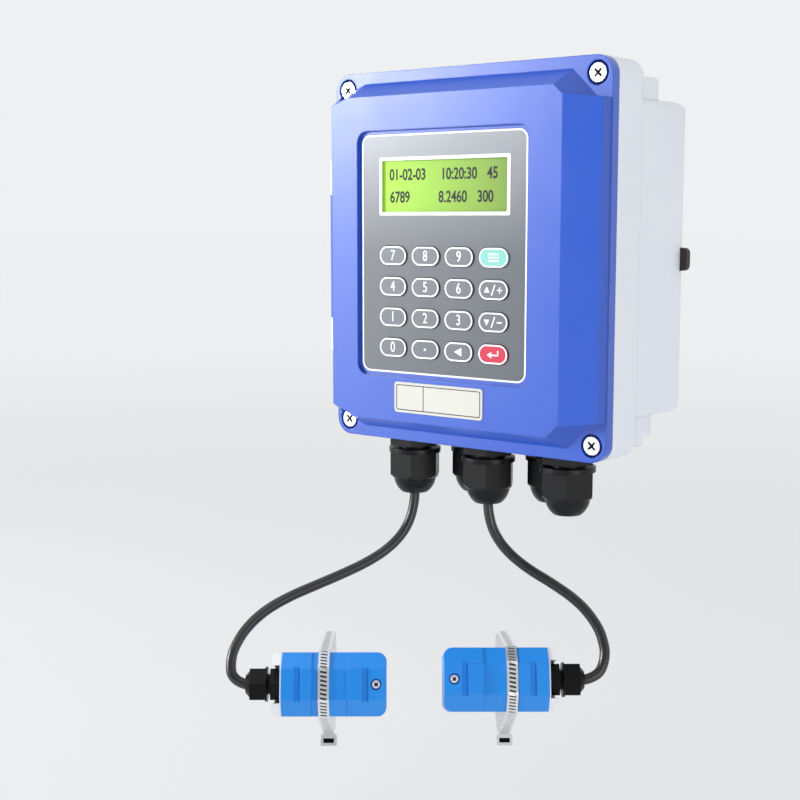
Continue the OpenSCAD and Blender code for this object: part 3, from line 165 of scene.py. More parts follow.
cableObjects = [makeCable(side) for side in sides]
print("camera and cables made")


# Materials: sizes are real ones in millimetres, and a texture's scale is 1000 over its size
def linear(hexColour):
    channels = [int(hexColour[i:i + 2], 16) / 255 for i in (1, 3, 5)]
    return tuple(c / 12.92 if c <= 0.04045 else ((c + 0.055) / 1.055) ** 2.4 for c in channels) + (1,)


# Settings go to inputs or, where there is no such input, to the node; "stops" colours a ramp's ends
def addNode(tree, kind, settings=None, links=None):
    node = tree.nodes.new("ShaderNode" + kind)
    for name, value in (settings or {}).items():
        if name == "stops":
            for stop, hexColour in zip(node.color_ramp.elements, value):
                stop.color = linear(hexColour)
        elif isinstance(name, int) or name in node.inputs:
            node.inputs[name].default_value = value
        else:
            setattr(node, name, value)
    for name, output in (links or {}).items():
        tree.links.new(output, node.inputs[name])
    return node


def startMaterial(name, settings):
    material = bpy.data.materials.new(name)
    material.use_nodes = True
    tree = material.node_tree
    shader = tree.nodes["Principled BSDF"]
    for key, value in settings.items():
        shader.inputs[key].default_value = value
    return material, tree, shader, addNode(tree, "TexCoord").outputs["Object"]


# Sharp edges catch the light as if rounded by the radius, and a grain stands on the surface
def roundEdges(tree, shader, radius, grain=None, bump=0.0, depth=0.05):
    normal = addNode(tree, "Bevel", {"samples": 4, "Radius": radius * millimetre})
    if grain is not None:
        normal = addNode(tree, "Bump", {"Strength": bump, "Distance": depth * millimetre},
                         {"Height": grain.outputs["Fac"], "Normal": normal.outputs["Normal"]})
    tree.links.new(normal.outputs["Normal"], shader.inputs["Normal"])


noiseSpan = {"From Min": 0.3, "From Max": 0.7}  # nearly all of a noise lies between these

# Plastics, rubber, paint and ink: faint clouds in the colour, patches in the gloss, a fine grain.
# The grain of a mould or a print is finer than 0.1 mm, and is drawn at 0.2 to 0.5 mm so that it shows
evenSurface = {"clouds": 40, "patches": 12, "spread": 0.05, "coatRoughness": 0.32}


def makeEven(name, tones, roughness, edge, grain=0.25, coat=0.0, bump=0.12, shine=0.5):
    material, tree, shader, place = startMaterial(name, {
        "IOR": 1.5, "Specular IOR Level": shine, "Coat Weight": coat,
        "Coat Roughness": evenSurface["coatRoughness"]})
    clouds, patches, fine = (
        addNode(tree, "TexNoise", {"Scale": 1000 / size, "Detail": detail}, {"Vector": place})
        for size, detail in ((evenSurface["clouds"], 3), (evenSurface["patches"], 4), (grain, 3)))
    tone = addNode(tree, "ValToRGB", {"stops": tones[::-1]}, {"Fac": clouds.outputs["Fac"]})
    gloss = addNode(tree, "MapRange", {**noiseSpan, "To Min": roughness - evenSurface["spread"],
                                       "To Max": roughness + evenSurface["spread"]},
                    {"Value": patches.outputs["Fac"]})
    tree.links.new(tone.outputs["Color"], shader.inputs["Base Color"])
    tree.links.new(gloss.outputs["Result"], shader.inputs["Roughness"])
    roundEdges(tree, shader, edge, fine, bump)
    return material


# Metals: two close tones, and a grain that is seen in the gloss and felt on the surface. Tool marks and
# plating grain are finer than 0.1 mm too, and are drawn at 0.25 to 0.4 mm
metalSurface = {"patches": 6, "smoother": 0.08, "rougher": 0.1, "bump": 0.15}


def makeMetal(name, tones, roughness=0.3, stretch=(1, 1, 1), grain=0.3, edge=0.15):
    material, tree, shader, place = startMaterial(name, {"Metallic": 1.0})
    patches = addNode(tree, "TexNoise", {"Scale": 1000 / metalSurface["patches"], "Detail": 3},
                      {"Vector": place})
    drawn = addNode(tree, "Mapping", {"Scale": stretch}, {"Vector": place})
    streaks = addNode(tree, "TexNoise", {"Scale": 1000 / grain, "Detail": 4},
                      {"Vector": drawn.outputs["Vector"]})
    tone = addNode(tree, "ValToRGB", {"stops": tones[::-1]}, {"Fac": patches.outputs["Fac"]})
    gloss = addNode(tree, "MapRange", {**noiseSpan, "To Min": roughness - metalSurface["smoother"],
                                       "To Max": roughness + metalSurface["rougher"]},
                    {"Value": streaks.outputs["Fac"]})
    tree.links.new(tone.outputs["Color"], shader.inputs["Base Color"])
    tree.links.new(gloss.outputs["Result"], shader.inputs["Roughness"])
    roundEdges(tree, shader, edge, streaks, metalSurface["bump"])
    return material


# Polyester overlay, screen-printed on its back: grey with painted shade that darkens it downwards, under a
# soft sheen
filmSurface = {"roughness": 0.34, "coat": 0.4, "coatRoughness": 0.25, "edge": 0.25,
               "grain": 0.2, "bump": 0.1, "depth": 0.03}


def makeFilm(name, top, bottom, high, low):
    material, tree, shader, place = startMaterial(name, {
        "IOR": 1.5, "Roughness": filmSurface["roughness"], "Coat Weight": filmSurface["coat"],
        "Coat Roughness": filmSurface["coatRoughness"]})
    split = addNode(tree, "SeparateXYZ", links={"Vector": place})
    height = addNode(tree, "MapRange", {"From Min": low * millimetre, "From Max": high * millimetre},
                     {"Value": split.outputs["Z"]})
    tone = addNode(tree, "ValToRGB", {"stops": (bottom, top)}, {"Fac": height.outputs["Result"]})
    fine = addNode(tree, "TexNoise", {"Scale": 1000 / filmSurface["grain"], "Detail": 2}, {"Vector": place})
    tree.links.new(tone.outputs["Color"], shader.inputs["Base Color"])
    roundEdges(tree, shader, filmSurface["edge"], fine, filmSurface["bump"], filmSurface["depth"])
    return material


# Cast acrylic, polished: all but clear, with a slightly uneven gloss
acrylic = {"tint": "#617059", "cover": 0.035, "waves": 8, "smoothest": 0.04, "roughest": 0.1}


def makeAcrylic(name):
    material, tree, shader, place = startMaterial(name, {
        "IOR": 1.5, "Alpha": acrylic["cover"], "Base Color": linear(acrylic["tint"])})
    waves = addNode(tree, "TexNoise", {"Scale": 1000 / acrylic["waves"], "Detail": 2}, {"Vector": place})
    gloss = addNode(tree, "MapRange", {**noiseSpan, "To Min": acrylic["smoothest"],
                                       "To Max": acrylic["roughest"]}, {"Value": waves.outputs["Fac"]})
    tree.links.new(gloss.outputs["Result"], shader.inputs["Roughness"])
    return material


# Display glass, lime green with painted light on it: lighter and glowing at its left end, darker to the right
displayPaintedLight = {"litSide": "#99CF30", "shadedSide": "#719522", "glow": 0.32, "left": -38, "right": 26}


def makeDisplayGlass(name):
    material, tree, shader, place = startMaterial(name, {"IOR": 1.5, "Roughness": 0.5})
    split = addNode(tree, "SeparateXYZ", links={"Vector": place})
    along = addNode(tree, "MapRange", {"From Min": displayPaintedLight["left"] * millimetre,
                                       "From Max": displayPaintedLight["right"] * millimetre},
                    {"Value": split.outputs["X"]})
    lime = addNode(tree, "ValToRGB", {"stops": (displayPaintedLight["litSide"], displayPaintedLight["shadedSide"])},
                   {"Fac": along.outputs["Result"]})
    # Painted glow: strongest at the left end, none at the right
    fade = addNode(tree, "MapRange", {"To Min": displayPaintedLight["glow"], "To Max": 0.0},
                   {"Value": along.outputs["Result"]})
    tree.links.new(lime.outputs["Color"], shader.inputs["Base Color"])
    tree.links.new(lime.outputs["Color"], shader.inputs["Emission Color"])
    tree.links.new(fade.outputs["Result"], shader.inputs["Emission Strength"])
    return material


# Solder mask over copper on glass fibre: deep green, a shade lighter where copper lies under it
board = {"mask": "#0F4D28", "overCopper": "#145A30", "patch": 4.545, "copperFrom": 0.35, "copperTo": 0.45,
         "edge": 0.15}


def makeBoard(name):
    material, tree, shader, place = startMaterial(name, {"IOR": 1.5, "Roughness": 0.35})
    cells = addNode(tree, "TexVoronoi", {"Scale": 1000 / board["patch"], "distance": "CHEBYCHEV"},
                    {"Vector": place})
    border = addNode(tree, "MapRange", {"From Min": board["copperFrom"], "From Max": board["copperTo"]},
                     {"Value": cells.outputs["Distance"]})
    tone = addNode(tree, "ValToRGB", {"stops": (board["mask"], board["overCopper"])},
                   {"Fac": border.outputs["Result"]})
    tree.links.new(tone.outputs["Color"], shader.inputs["Base Color"])
    roundEdges(tree, shader, board["edge"])
    return material


evenLooks = {
    # ABS from a fine-grained mould: a pale satin grey with soft thick edges
    "mouldedAbsGrey": {"tones": ("#E3E7EE", "#DCE0E8"), "roughness": 0.42, "grain": 0.3, "edge": 0.9},
    # ABS from a polished mould: deep blue under a broad soft gloss
    "mouldedAbsBlue": {"tones": ("#0A4FC0", "#0849B8"), "roughness": 0.37, "edge": 0.8, "coat": 0.65},
    # Small ABS mouldings of the sensors: bright sky blue, and a cool white under it
    "mouldedAbsSkyBlue": {"tones": ("#2190EC", "#1C89E5"), "roughness": 0.36, "grain": 0.2, "edge": 0.5},
    "mouldedAbsWhite": {"tones": ("#F2F4F7", "#E8EAEE"), "roughness": 0.4, "grain": 0.2, "edge": 0.4},
    # Nylon, moulded: black with a dull shine along its flutes, and all but none on the sensors' glands
    "mouldedNylonBlack": {"tones": ("#0E0F11", "#0A0A0C"), "roughness": 0.34, "grain": 0.3, "edge": 0.5,
                          "shine": 0.28},
    "mouldedNylonDeepBlack": {"tones": ("#060607", "#040405"), "roughness": 0.3, "grain": 0.3, "edge": 0.5,
                              "shine": 0.16},
    # Soft PVC, extruded: charcoal with one long highlight
    "extrudedPvcBlack": {"tones": ("#2B2B2C", "#222223"), "roughness": 0.35, "grain": 0.5, "edge": 0.1,
                         "bump": 0.1, "shine": 0.6},
    # Rubber, moulded: dull black that takes no highlight
    "mouldedRubberBlack": {"tones": ("#202022", "#161618"), "roughness": 0.5, "grain": 0.3, "edge": 0.2,
                           "bump": 0.2},
    # Steel, dip-painted: dull brown-black
    "paintedSteelBrown": {"tones": ("#2A1E1A", "#1D1512"), "roughness": 0.5, "grain": 0.3, "edge": 0.4},
    # Key caps under a printed film: flat mint green and flat red
    "printedFilmMint": {"tones": ("#80CBC2", "#78C3BA"), "roughness": 0.35, "grain": 0.2, "edge": 0.4},
    "printedFilmRed": {"tones": ("#CC2448", "#C21C40"), "roughness": 0.35, "grain": 0.2, "edge": 0.4},
    # Screen-printed inks: thin, even and opaque
    "screenInkWhite": {"tones": ("#F7F9FB", "#F0F2F5"), "roughness": 0.4, "grain": 0.2, "edge": 0.1},
    "screenInkBlack": {"tones": ("#15161A", "#101114"), "roughness": 0.4, "grain": 0.2, "edge": 0.1},
    # Liquid crystal, switched on: black with a trace of the green behind it
    "liquidCrystalBlack": {"tones": ("#0A1004", "#070C03"), "roughness": 0.6, "grain": 0.2, "edge": 0.05},
    # Polyester label, matt: warm light grey
    "printedLabelCream": {"tones": ("#CDCDC5", "#C8C8C0"), "roughness": 0.5, "grain": 0.2, "edge": 0.1},
    # Polyamide, moulded: the mid green of terminal blocks
    "mouldedPolyamideGreen": {"tones": ("#2E8B4E", "#277A44"), "roughness": 0.4, "grain": 0.2, "edge": 0.3},
    # Piezo ceramic, fired: chalky cream
    "firedCeramicCream": {"tones": ("#CFC4A0", "#C0B48E"), "roughness": 0.5, "grain": 0.2, "edge": 0.1},
}
metalLooks = {
    # Steel, turned and zinc-plated: bright, slightly cloudy
    "platedSteelZinc": {"tones": ("#F1F2F4", "#E4E6E9"), "roughness": 0.42, "grain": 0.4, "edge": 0.2},
    # Brass, turned: warm yellow
    "turnedBrass": {"tones": ("#CDA75A", "#B88F45"), "grain": 0.4, "edge": 0.2},
    # Steel, nickel-plated dull: almost white, with no mirror image in it
    "platedSteelNickel": {"tones": ("#FFFFFF", "#F6F7F8"), "roughness": 0.6, "grain": 0.4, "edge": 0.1},
    # Stainless steel, rolled: bright, with faint short streaks
    "rolledSteelStainless": {"tones": ("#F6F7F8", "#E6E8EA"), "roughness": 0.42, "stretch": (0.2, 1, 1),
                             "grain": 0.25, "edge": 0.08},
    # Stainless steel in the slots, with painted shade: the slots' floors are dark grey between their bright
    # rims
    "pressedSteelStainless": {"tones": ("#4A4A4C", "#3A3A3C"), "roughness": 0.5, "grain": 0.25, "edge": 0.08},
    # Steel in the shade of a hole: all but black
    "shadedSteel": {"tones": ("#1C1C1E", "#161618"), "roughness": 0.6},
}
looks = {
    # Painted shade darkens the overlay downwards, from mid grey round the window to dark among the keys; the
    # keys' own film hardly changes
    "printedFilmGreyPaintedShade": makeFilm("printedFilmGreyPaintedShade", top="#888D95", bottom="#565B63", high=50, low=2),
    "printedFilmKeysPaintedShade": makeFilm("printedFilmKeysPaintedShade", top="#666B73", bottom="#62676F", high=6, low=-40),
    "polishedAcrylicClear": makeAcrylic("polishedAcrylicClear"),
    "limeGlassPaintedLight": makeDisplayGlass("limeGlassPaintedLight"),
    "solderMaskGreen": makeBoard("solderMaskGreen"),
}
for name, settings in evenLooks.items():
    looks[name] = makeEven(name, **settings)
for name, settings in metalLooks.items():
    looks[name] = makeMetal(name, **settings)

# The look of each node, by the start of its name; the longest start that fits counts
nodeLooks = {
    "case_base": "mouldedAbsGrey", "case_screws": "platedSteelZinc", "wall_bar": "paintedSteelBrown",
    "cover": "mouldedAbsBlue", "cover_gasket": "mouldedRubberBlack", "cover_screw": "platedSteelZinc",
    "hinge_pin": "platedSteelZinc", "screw_inserts": "turnedBrass",
    "main_board": "solderMaskGreen", "terminal_blocks": "mouldedPolyamideGreen",
    "board_standoffs": "turnedBrass", "keypad_circuit": "solderMaskGreen",
    "display_board": "solderMaskGreen", "display_screws": "platedSteelZinc",
    "front_panel": "printedFilmGreyPaintedShade", "lcd_window": "polishedAcrylicClear", "lcd_module": "limeGlassPaintedLight",
    "key_": "printedFilmKeysPaintedShade", "key_menu": "printedFilmMint", "key_enter": "printedFilmRed",
    "gland_bodies": "mouldedNylonBlack", "gland_locknuts": "mouldedNylonBlack",
    "gland_nut": "mouldedNylonBlack", "gland_seals": "mouldedRubberBlack", "cable": "extrudedPvcBlack",
    "sensor_cover": "mouldedAbsSkyBlue", "sensor_base": "mouldedAbsWhite",
    "sensor_gland": "mouldedNylonDeepBlack", "sensor_screws": "platedSteelNickel",
    "piezo_crystals": "firedCeramicCream", "clamp_band": "rolledSteelStainless",
    "worm_housings": "rolledSteelStainless", "worm_screw": "platedSteelZinc",
}
for name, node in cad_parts.items():
    start = max((s for s in nodeLooks if name.startswith(s)), key=len)
    node.data.materials.clear()
    node.data.materials.append(looks[nodeLooks[start]])
for cable in cableObjects:
    cable.data.materials.clear()
    cable.data.materials.append(looks[nodeLooks["cable"]])
print("materials made")


# Helpers for printed and pressed pieces; those on the front are drawn in x and z, in millimetres
def finishPiece(name, mesh, look, body):
    piece = placeObject(name, mesh)
    mesh.materials.append(looks[look])
    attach(piece, body)
    return piece


def meshPiece(name, build, look, body):
    work = bmesh.new()
    build(work)
    bmesh.ops.recalc_face_normals(work, faces=work.faces)
    mesh = bpy.data.meshes.new(name)
    work.to_mesh(mesh)
    work.free()
    return finishPiece(name, mesh, look, body)


def roundedOutline(centre, width, height, radius, segments=8):
    points = []
    for corner in range(4):
        cx = centre[0] + (width / 2 - radius) * (1 if corner in (0, 3) else -1)
        cz = centre[1] + (height / 2 - radius) * (1 if corner in (0, 1) else -1)
        for step in range(segments + 1):
            angle = math.radians(90 * corner + 90 * step / segments)
            points.append((cx + radius * math.cos(angle), cz + radius * math.sin(angle)))
    return points


def addRow(work, outline, y):
    return [work.verts.new((x * millimetre, y * millimetre, z * millimetre)) for x, z in outline]


def addRing(work, outer, inner, front, back):
    rows = [addRow(work, outline, y) for outline in (outer, inner) for y in (front, back)]
    for a, b in ((0, 1), (0, 2), (2, 3), (1, 3)):
        for k in range(len(outer)):
            n = (k + 1) % len(outer)
            work.faces.new((rows[a][k], rows[a][n], rows[b][n], rows[b][k]))


# A closed block between two rows of corners
def addBlock(work, near, far):
    for k in range(len(near)):
        n = (k + 1) % len(near)
        work.faces.new((near[k], near[n], far[n], far[k]))
    work.faces.new(near)
    work.faces.new(list(reversed(far)))


def addPlate(work, outline, front, back):
    addBlock(work, addRow(work, outline, front), addRow(work, outline, back))


# Plain figures, as a mesh standing on a face that looks towards -Y
def figures(name, words, centre, settings, face, thick, look, body):
    curve = bpy.data.curves.new(name, "FONT")
    curve.body = words
    curve.size = settings["size"] * millimetre
    curve.align_x = settings["align"]
    curve.align_y = "CENTER"
    curve.extrude = thick / 2 * millimetre
    curve.offset = settings["bold"] * millimetre
    letter = placeObject(name + "-curve", curve)
    letter.scale = (settings["width"], 1, 1)
    letter.rotation_euler = (math.pi / 2, 0, 0)
    letter.location = (centre[0] * millimetre, (face - thick / 2) * millimetre, centre[1] * millimetre)
    return finishPiece(name, meshFromCurve(letter), look, body)


# Front panel: white lines round its edge and round the window, as width, height and corner radius
panel = {
    "centre": (-7, 1.5), "shape": (81, 96, 4), "line": 0.75, "face": -63.5, "ink": 0.06,
    "window": (-6.4, 28.8), "windowShape": (64, 23.2, 0.8), "glassShape": (61.2, 20.4, 0.4),
}


def shrink(shape, line):
    width, height, radius = shape
    return width - 2 * line, height - 2 * line, radius - line


# Front and back of a layer of ink on a face
def inkOn(face):
    return face - panel["ink"], face + panel["ink"] / 2


for name, centre, outer, inner in (
        ("panel-edge", panel["centre"], panel["shape"], shrink(panel["shape"], panel["line"])),
        ("window-edge", panel["window"], panel["windowShape"], panel["glassShape"])):
    meshPiece(name, lambda work: addRing(
        work, roundedOutline(centre, *outer), roundedOutline(centre, *inner), *inkOn(panel["face"])),
        "screenInkWhite", "lid")
print("panel printed")

# Keys: the outline and the figure or sign on each cap
keys = {
    "first": (-31, 1.1), "pitch": (16.5, 12.4), "shape": (13.5, 7.5, 3.75), "proud": 0.6, "line": 0.65,
    "figures": {"size": 5.9, "width": 0.82, "align": "CENTER", "bold": 0.04},
    "names": [["key_7", "key_8", "key_9", "key_menu"], ["key_4", "key_5", "key_6", "key_up"],
              ["key_1", "key_2", "key_3", "key_down"], ["key_0", "key_point", "key_back", "key_enter"]],
    "slots": {"key_menu": "key_mint", "key_enter": "key_red"},
}


def triangle(centre, width, height, turn):
    points = [(-width / 2, -height / 2), (width / 2, -height / 2), (0, height / 2)]
    c, s = math.cos(math.radians(turn)), math.sin(math.radians(turn))
    return [(centre[0] + x * c - z * s, centre[1] + x * s + z * c) for x, z in points]


def bar(centre, width, height):
    x, z = centre
    return [(x + width / 2 * a, z + height / 2 * b) for a, b in square]


def slash(centre, height, reach=1.1, line=0.6):
    x, z = centre
    return [(x - reach, z - height / 2), (x - reach + line, z - height / 2),
            (x + reach, z + height / 2), (x + reach - line, z + height / 2)]


# Generic signs from a key's centre: arrows, plus, minus, a full stop and three bars
keySigns = {
    "key_up": [triangle((-3, 0.2), 2.6, 2.4, 0), bar((3, 0), 2.4, 0.55), bar((3, 0), 0.55, 2.4),
               slash((0, 0), 4.2)],
    "key_down": [triangle((-3, -0.2), 2.6, 2.4, 180), bar((3, 0), 2.4, 0.55), slash((0, 0), 4.2)],
    "key_back": [triangle((-0.2, 0), 3.4, 3.6, 90)],
    "key_point": [bar((0, 0), 1.0, 1.0)],
    "key_menu": [bar((0, 1.3), 5, 0.6), bar((0, 0), 5, 0.6), bar((0, -1.3), 5, 0.6)],
    "key_enter": [triangle((-1.7, -0.3), 2.6, 2.2, 90), bar((0.9, -0.3), 3.6, 0.6),
                  bar((2.4, 0.6), 0.6, 2.0)],
}


def printKey(name, centre):
    capFace = panel["face"] - keys["proud"]
    outer, inner = keys["shape"], shrink(keys["shape"], keys["line"])
    meshPiece(name + "-outline", lambda work: addRing(
        work, roundedOutline(centre, *outer), roundedOutline(centre, *inner), *inkOn(capFace)),
        "screenInkWhite", name)

    def build(work):
        for outline in keySigns[name]:
            addPlate(work, [(x + centre[0], z + centre[1]) for x, z in outline], *inkOn(capFace))

    if name in keySigns:
        meshPiece(name + "-sign", build, "screenInkWhite", name)
    else:
        figures(name + "-figure", name[-1], centre, keys["figures"], capFace, panel["ink"],
                "screenInkWhite", name)


for row, names in enumerate(keys["names"]):
    for column, name in enumerate(names):
        printKey(name, (keys["first"][0] + column * keys["pitch"][0],
                        keys["first"][1] - row * keys["pitch"][1]))
print("keys printed")

# Display: a lime film with painted light on it, close behind the window, and two rows of plain figures on it
display = {
    "shape": (63.6, 22.8, 0.6), "back": -62.51, "thick": 0.05, "ink": 0.05,
    "figures": {"size": 6.2, "width": 0.82, "align": "LEFT", "bold": 0.14},
    "rows": [((-33.9, 33.2), "01-02-03"), ((-8, 33.2), "10:20:30"), ((14.2, 33.2), "45"),
             ((-33.6, 24.3), "6789"), ((-9.1, 24.3), "8.2460"), ((9.6, 24.3), "300")],
}
displayFront = display["back"] - display["thick"]
meshPiece("display-film", lambda work: addPlate(
    work, roundedOutline(panel["window"], *display["shape"]), displayFront, display["back"]),
    "limeGlassPaintedLight", "lid")
for number, (place, words) in enumerate(display["rows"]):
    figures("display-row-%d" % number, words, place, display["figures"], displayFront, display["ink"],
            "liquidCrystalBlack", "lid")

# Bare rating plate under the panel, with a printed frame and one divider
plate = {
    "centre": (-7.3, -56), "shape": (43.8, 12.4, 1.4), "face": -65, "thick": 0.3,
    "inset": 1.0, "line": 0.35, "radii": (0.9, 0.6), "divider": -14.4, "proud": 0.04, "sunk": 0.02,
}
plateFront = plate["face"] - plate["thick"]
meshPiece("rating-plate", lambda work: addPlate(
    work, roundedOutline(plate["centre"], *plate["shape"]), plateFront, plate["face"]),
    "printedLabelCream", "lid")


def plateLines(work):
    layer = (plateFront - plate["proud"], plateFront + plate["sunk"])
    width, height = (s - 2 * plate["inset"] for s in plate["shape"][:2])
    outer = (width, height, plate["radii"][0])
    inner = (width - 2 * plate["line"], height - 2 * plate["line"], plate["radii"][1])
    addRing(work, roundedOutline(plate["centre"], *outer), roundedOutline(plate["centre"], *inner), *layer)
    addPlate(work, bar((plate["divider"], plate["centre"][1]), plate["line"], height), *layer)


meshPiece("rating-plate-lines", plateLines, "screenInkBlack", "lid")
print("display and plate made")

# Painted shade: a dark plate at the bottom of the cross in each screw's head, as length and width of its bars
screws = {
    "cover": {"top_left": (-59.6, 68.5), "top_right": (59.6, 68.5), "bottom_left": (-59.6, -68.5),
              "bottom_right": (59.6, -68.5)},
    "coverFace": -58, "coverDepth": 1.11, "coverShadeCross": (3.9, 0.86),
    "sensorInset": 4, "sensorLength": 45, "sensorTop": 52.2, "sensorDepth": 0.71, "sensorShadeCross": (1.84, 0.56),
    "thick": 0.05,
    "apart": 0.00001,  # keeps the two bars' faces from lying in one plane, per degree of their turn
}


def addShadeCross(work, place, length, width):
    for turn in (45, 135):
        along = Vector((math.cos(math.radians(turn)), math.sin(math.radians(turn))))
        across = Vector((-along.y, along.x))
        corners = [along * (a * length / 2) + across * (b * width / 2) for a, b in square]
        start = turn * screws["apart"]
        addBlock(work, *([work.verts.new(place(c.x, c.y, depth + start) * millimetre) for c in corners]
                         for depth in (0, screws["thick"])))


for name, (x, z) in screws["cover"].items():
    face = screws["coverFace"] + screws["coverDepth"]
    meshPiece("shade-cross-" + name, lambda work: addShadeCross(
        work, lambda a, b, depth: Vector((x + a, face - depth, z + b)), *screws["coverShadeCross"]),
        "shadedSteel", "cover_screw_" + name)

for side in sides:
    middle = screws["sensorLength"] / 2 - screws["sensorInset"]
    floor = screws["sensorTop"] - screws["sensorDepth"]
    meshPiece("sensor-shade-cross-" + side, lambda work: addShadeCross(
        work, lambda a, b, depth: sensorMatrix(side) @ Vector((middle + a, b, floor + depth)),
        *screws["sensorShadeCross"]), "shadedSteel", "case")
print("screws' crosses made")

# Clamp bands: thin stainless strip with a row of pressed slots for the worm
band = {
    "width": 4.4, "thick": 0.7, "pitch": 1.7, "slot": 0.75, "slotWidth": 2.6, "slotFloor": 0.3, "slant": 0.5,
    "shift": {"left": 2.2, "right": 4.4}, "seat": 31.4, "facet": 12, "half": 12.5, "clear": 0.02, "steps": 64,
}


# Round the seat, up a flank to the sensor's top facet, and down the other flank
def bandPath():
    radius = sensorSeat["radius"]
    top = radius + band["seat"]
    drop = band["half"] - band["facet"] / 2
    flank = Vector((band["half"], top - drop))
    angle = math.asin(radius / flank.length) - math.atan2(flank.x, flank.y)
    run = []
    for k in range(band["steps"] + 1):
        a = -math.pi / 2 + (angle + math.pi / 2) * k / band["steps"]
        run.append(Vector((radius * math.cos(a), radius * math.sin(a))))
    run += [flank, Vector((band["facet"] / 2, top))]
    mirrored = [Vector((-p.x, p.y)) for p in reversed(run)]
    return run + mirrored[:-1]


# Both ends of every slot along the path, each with its outward direction
def walkPath(path, step):
    loop = path + [path[0]]
    lengths = [(b - a).length for a, b in zip(loop, loop[1:])]
    total = sum(lengths)
    count = round(total / step)
    marks = [(k + share) * total / count for k in range(count) for share in (0, band["slot"] / band["pitch"])]
    places, index, before = [], 0, 0.0
    for mark in marks:
        while mark > before + lengths[index] and index < len(lengths) - 1:
            before += lengths[index]
            index += 1
        t = (mark - before) / lengths[index]
        direction = (loop[index + 1] - loop[index]).normalized()
        places.append((loop[index].lerp(loop[index + 1], t), Vector((direction.y, -direction.x))))
    return places


def makeBand(side):
    matrix = sensorMatrix(side)
    places = walkPath(bandPath(), band["pitch"])
    # Four columns across the strip; the two at the slots lean, so that the slots slant
    columns = list(zip((-band["width"] / 2, -band["slotWidth"] / 2, band["slotWidth"] / 2, band["width"] / 2),
                       (0, -1, 1, 0)))
    depths = {"inner": band["clear"], "floor": band["slotFloor"], "outer": band["thick"]}

    def build(work):
        rows = {name: [] for name in depths}
        for name, depth in depths.items():
            for place, out in places:
                along = Vector((-out.y, out.x))
                row = []
                for x, lean in columns:
                    spot = place + out * depth + along * band["slant"] / 2 * lean
                    point = matrix @ Vector((x - band["shift"][side], spot.x, spot.y))
                    row.append(work.verts.new(point * millimetre))
                rows[name].append(row)

        def quad(name, k, n, c, material=0):
            near, far = rows[name][k], rows[name][n]
            work.faces.new((near[c], near[c + 1], far[c + 1], far[c])).material_index = material

        def wall(low, first, second):
            (a, b), (d, e) = first, second
            work.faces.new((rows[low][a][b], rows[low][d][e], rows["outer"][d][e], rows["outer"][a][b]))

        for k in range(len(places)):
            n = (k + 1) % len(places)
            slotHere = k % 2 == 0
            for c in range(3):
                quad("inner", k, n, c)
                if c == 1 and slotHere:
                    quad("floor", k, n, c, 1)
                else:
                    quad("outer", k, n, c)
            for c in (0, 3):
                wall("inner", (k, c), (n, c))
            if slotHere:
                for c in (1, 2):
                    wall("floor", (k, c), (n, c))
                for r in (k, n):
                    wall("floor", (r, 1), (r, 2))
        for vert in [v for v in work.verts if not v.link_faces]:
            work.verts.remove(vert)

    piece = meshPiece("clamp-band-" + side, build, "rolledSteelStainless", "case")
    # The slots' floors take this second look: painted shade in the slots
    piece.data.materials.append(looks["pressedSteelStainless"])
    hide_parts("clamp_band_" + side)


for side in sides:
    makeBand(side)

# Painted shade: a dark plate in the open front end of each worm housing
worm = {"below": 24.0, "floor": 3.52, "width": 4.5, "height": 1.9, "thick": 0.05}


def makeMouthShade(side):
    matrix = sensorMatrix(side)
    middle = Vector((-band["shift"][side], sides[side] * worm["below"], worm["floor"]))

    def corner(work, a, b, depth):
        spot = middle + Vector((a * worm["width"] / 2, b * worm["height"] / 2, depth))
        return work.verts.new(matrix @ spot * millimetre)

    def build(work):
        addBlock(work, *([corner(work, a, b, depth) for a, b in square] for depth in (0, worm["thick"])))

    meshPiece("worm-mouth-shade-" + side, build, "shadedSteel", "case")


for side in sides:
    makeMouthShade(side)
print("bands made")

# Pale floor and soft studio light, in metres and watts: one key softbox at the front left, and weak fills
studio = {
    "tone": "#FDFEFF", "floorTones": ("#E6E7E9", "#EAEBED"), "floorClouds": 300,
    "floorHeight": -0.25, "floorSize": 40.0,
    "near": 0.4, "far": 2.5, "pale": (0.77, 0.87),  # how bright the camera sees the floor, near and far
    "share": 0.65, "shadeEnd": 1.2,  # how much of it stays in the object's shadow; past the end, all of it
    "front": 0.2, "behind": 0.88, "turnOver": (-0.5, 0.15),  # the world's light, weak from the front
    "lamps": {
        "softbox": {"place": (-1.2, -1.1, 0.42), "size": 0.5, "power": 28, "aim": (0, -0.04, -0.03)},
        "side": {"place": (1.1, -0.5, -0.12), "size": 0.5, "power": 4.5, "aim": (0, -0.04, -0.03)},
        "top": {"place": (0.0, -0.9, 1.9), "size": 1.4, "power": 8, "aim": (0, -0.04, -0.03)},
        "low": {"place": (-0.75, -0.75, -0.2), "size": 0.4, "power": 1.3, "aim": (-0.03, -0.06, -0.05)},
    },
}


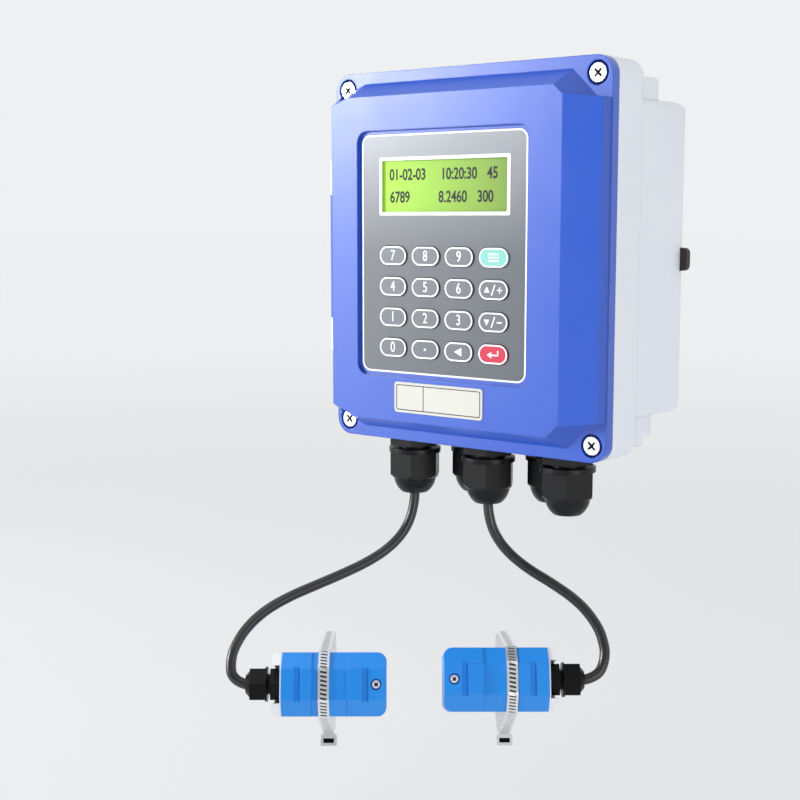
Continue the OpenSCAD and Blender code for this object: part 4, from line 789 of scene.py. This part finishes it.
# Matt paper whose brightness is set for the camera, for mirror images and through clear pieces
def floorPaper():
    material, tree, shader, place = startMaterial("mattPaperWhite", {
        "Roughness": 0.85, "Specular IOR Level": 0.2})
    clouds = addNode(tree, "TexNoise", {"Scale": 1000 / studio["floorClouds"], "Detail": 2},
                     {"Vector": place})
    tone = addNode(tree, "ValToRGB", {"stops": studio["floorTones"]}, {"Fac": clouds.outputs["Fac"]})
    tree.links.new(tone.outputs["Color"], shader.inputs["Base Color"])
    distance = addNode(tree, "VectorMath", {"operation": "LENGTH"}, {"Vector": place})
    level = addNode(tree, "MapRange", {"From Min": studio["near"], "From Max": studio["far"],
                                       "To Min": studio["pale"][0], "To Max": studio["pale"][1]},
                    {"Value": distance.outputs["Value"]})
    glow = addNode(tree, "Emission", {"Color": linear(studio["tone"])}, {"Strength": level.outputs["Result"]})
    fade = addNode(tree, "MapRange", {"From Min": studio["near"], "From Max": studio["shadeEnd"],
                                      "To Min": studio["share"], "To Max": 1.0,
                                      "interpolation_type": "SMOOTHSTEP"},
                   {"Value": distance.outputs["Value"]})
    path = addNode(tree, "LightPath")
    seen = addNode(tree, "Math", {"operation": "MAXIMUM"},
                   {0: path.outputs["Is Camera Ray"], 1: path.outputs["Is Glossy Ray"]})
    through = addNode(tree, "Math", {"operation": "MAXIMUM"},
                      {0: seen.outputs["Value"], 1: path.outputs["Is Transmission Ray"]})
    share = addNode(tree, "Math", {"operation": "MULTIPLY"},
                    {0: through.outputs["Value"], 1: fade.outputs["Result"]})
    mix = addNode(tree, "MixShader", links={0: share.outputs["Value"], 1: shader.outputs["BSDF"],
                                            2: glow.outputs["Emission"]})
    tree.links.new(mix.outputs["Shader"], tree.nodes["Material Output"].inputs["Surface"])
    return material


def makeFloor():
    work = bmesh.new()
    half = studio["floorSize"] / 2
    work.faces.new([work.verts.new((x * half, y * half, studio["floorHeight"])) for x, y in square])
    mesh = bpy.data.meshes.new("floor")
    work.to_mesh(mesh)
    work.free()
    mesh.materials.append(floorPaper())
    placeObject("floor", mesh)


def makeLamp(name, settings):
    data = bpy.data.lights.new(name, "AREA")
    data.size = settings["size"]
    data.energy = settings["power"]
    lamp = placeObject(name, data)
    lamp.location = settings["place"]
    direction = Vector(settings["aim"]) - Vector(settings["place"])
    lamp.rotation_euler = direction.to_track_quat("-Z", "Y").to_euler()


def makeWorld():
    world = bpy.data.worlds.new("studio")
    bpy.context.scene.world = world
    world.use_nodes = True
    tree = world.node_tree
    background = tree.nodes["Background"]
    background.inputs["Color"].default_value = linear(studio["tone"])
    place = addNode(tree, "TexCoord")
    split = addNode(tree, "SeparateXYZ", links={"Vector": place.outputs["Generated"]})
    low, high = studio["turnOver"]
    strength = addNode(tree, "MapRange", {"From Min": low, "From Max": high, "To Min": studio["front"],
                                          "To Max": studio["behind"], "interpolation_type": "SMOOTHSTEP"},
                       {"Value": split.outputs["Y"]})
    path = addNode(tree, "LightPath")
    # The camera sees the same pale tone from every side
    seen = addNode(tree, "Math", {"operation": "MULTIPLY", 1: studio["behind"]},
                   {0: path.outputs["Is Camera Ray"]})
    level = addNode(tree, "Math", {"operation": "MAXIMUM"},
                    {0: strength.outputs["Result"], 1: seen.outputs["Value"]})
    tree.links.new(level.outputs["Value"], background.inputs["Strength"])


makeFloor()
makeWorld()
for name, settings in studio["lamps"].items():
    makeLamp(name, settings)
bpy.context.scene.view_settings.view_transform = "Standard"
print("studio made")

bpy.context.view_layer.update()
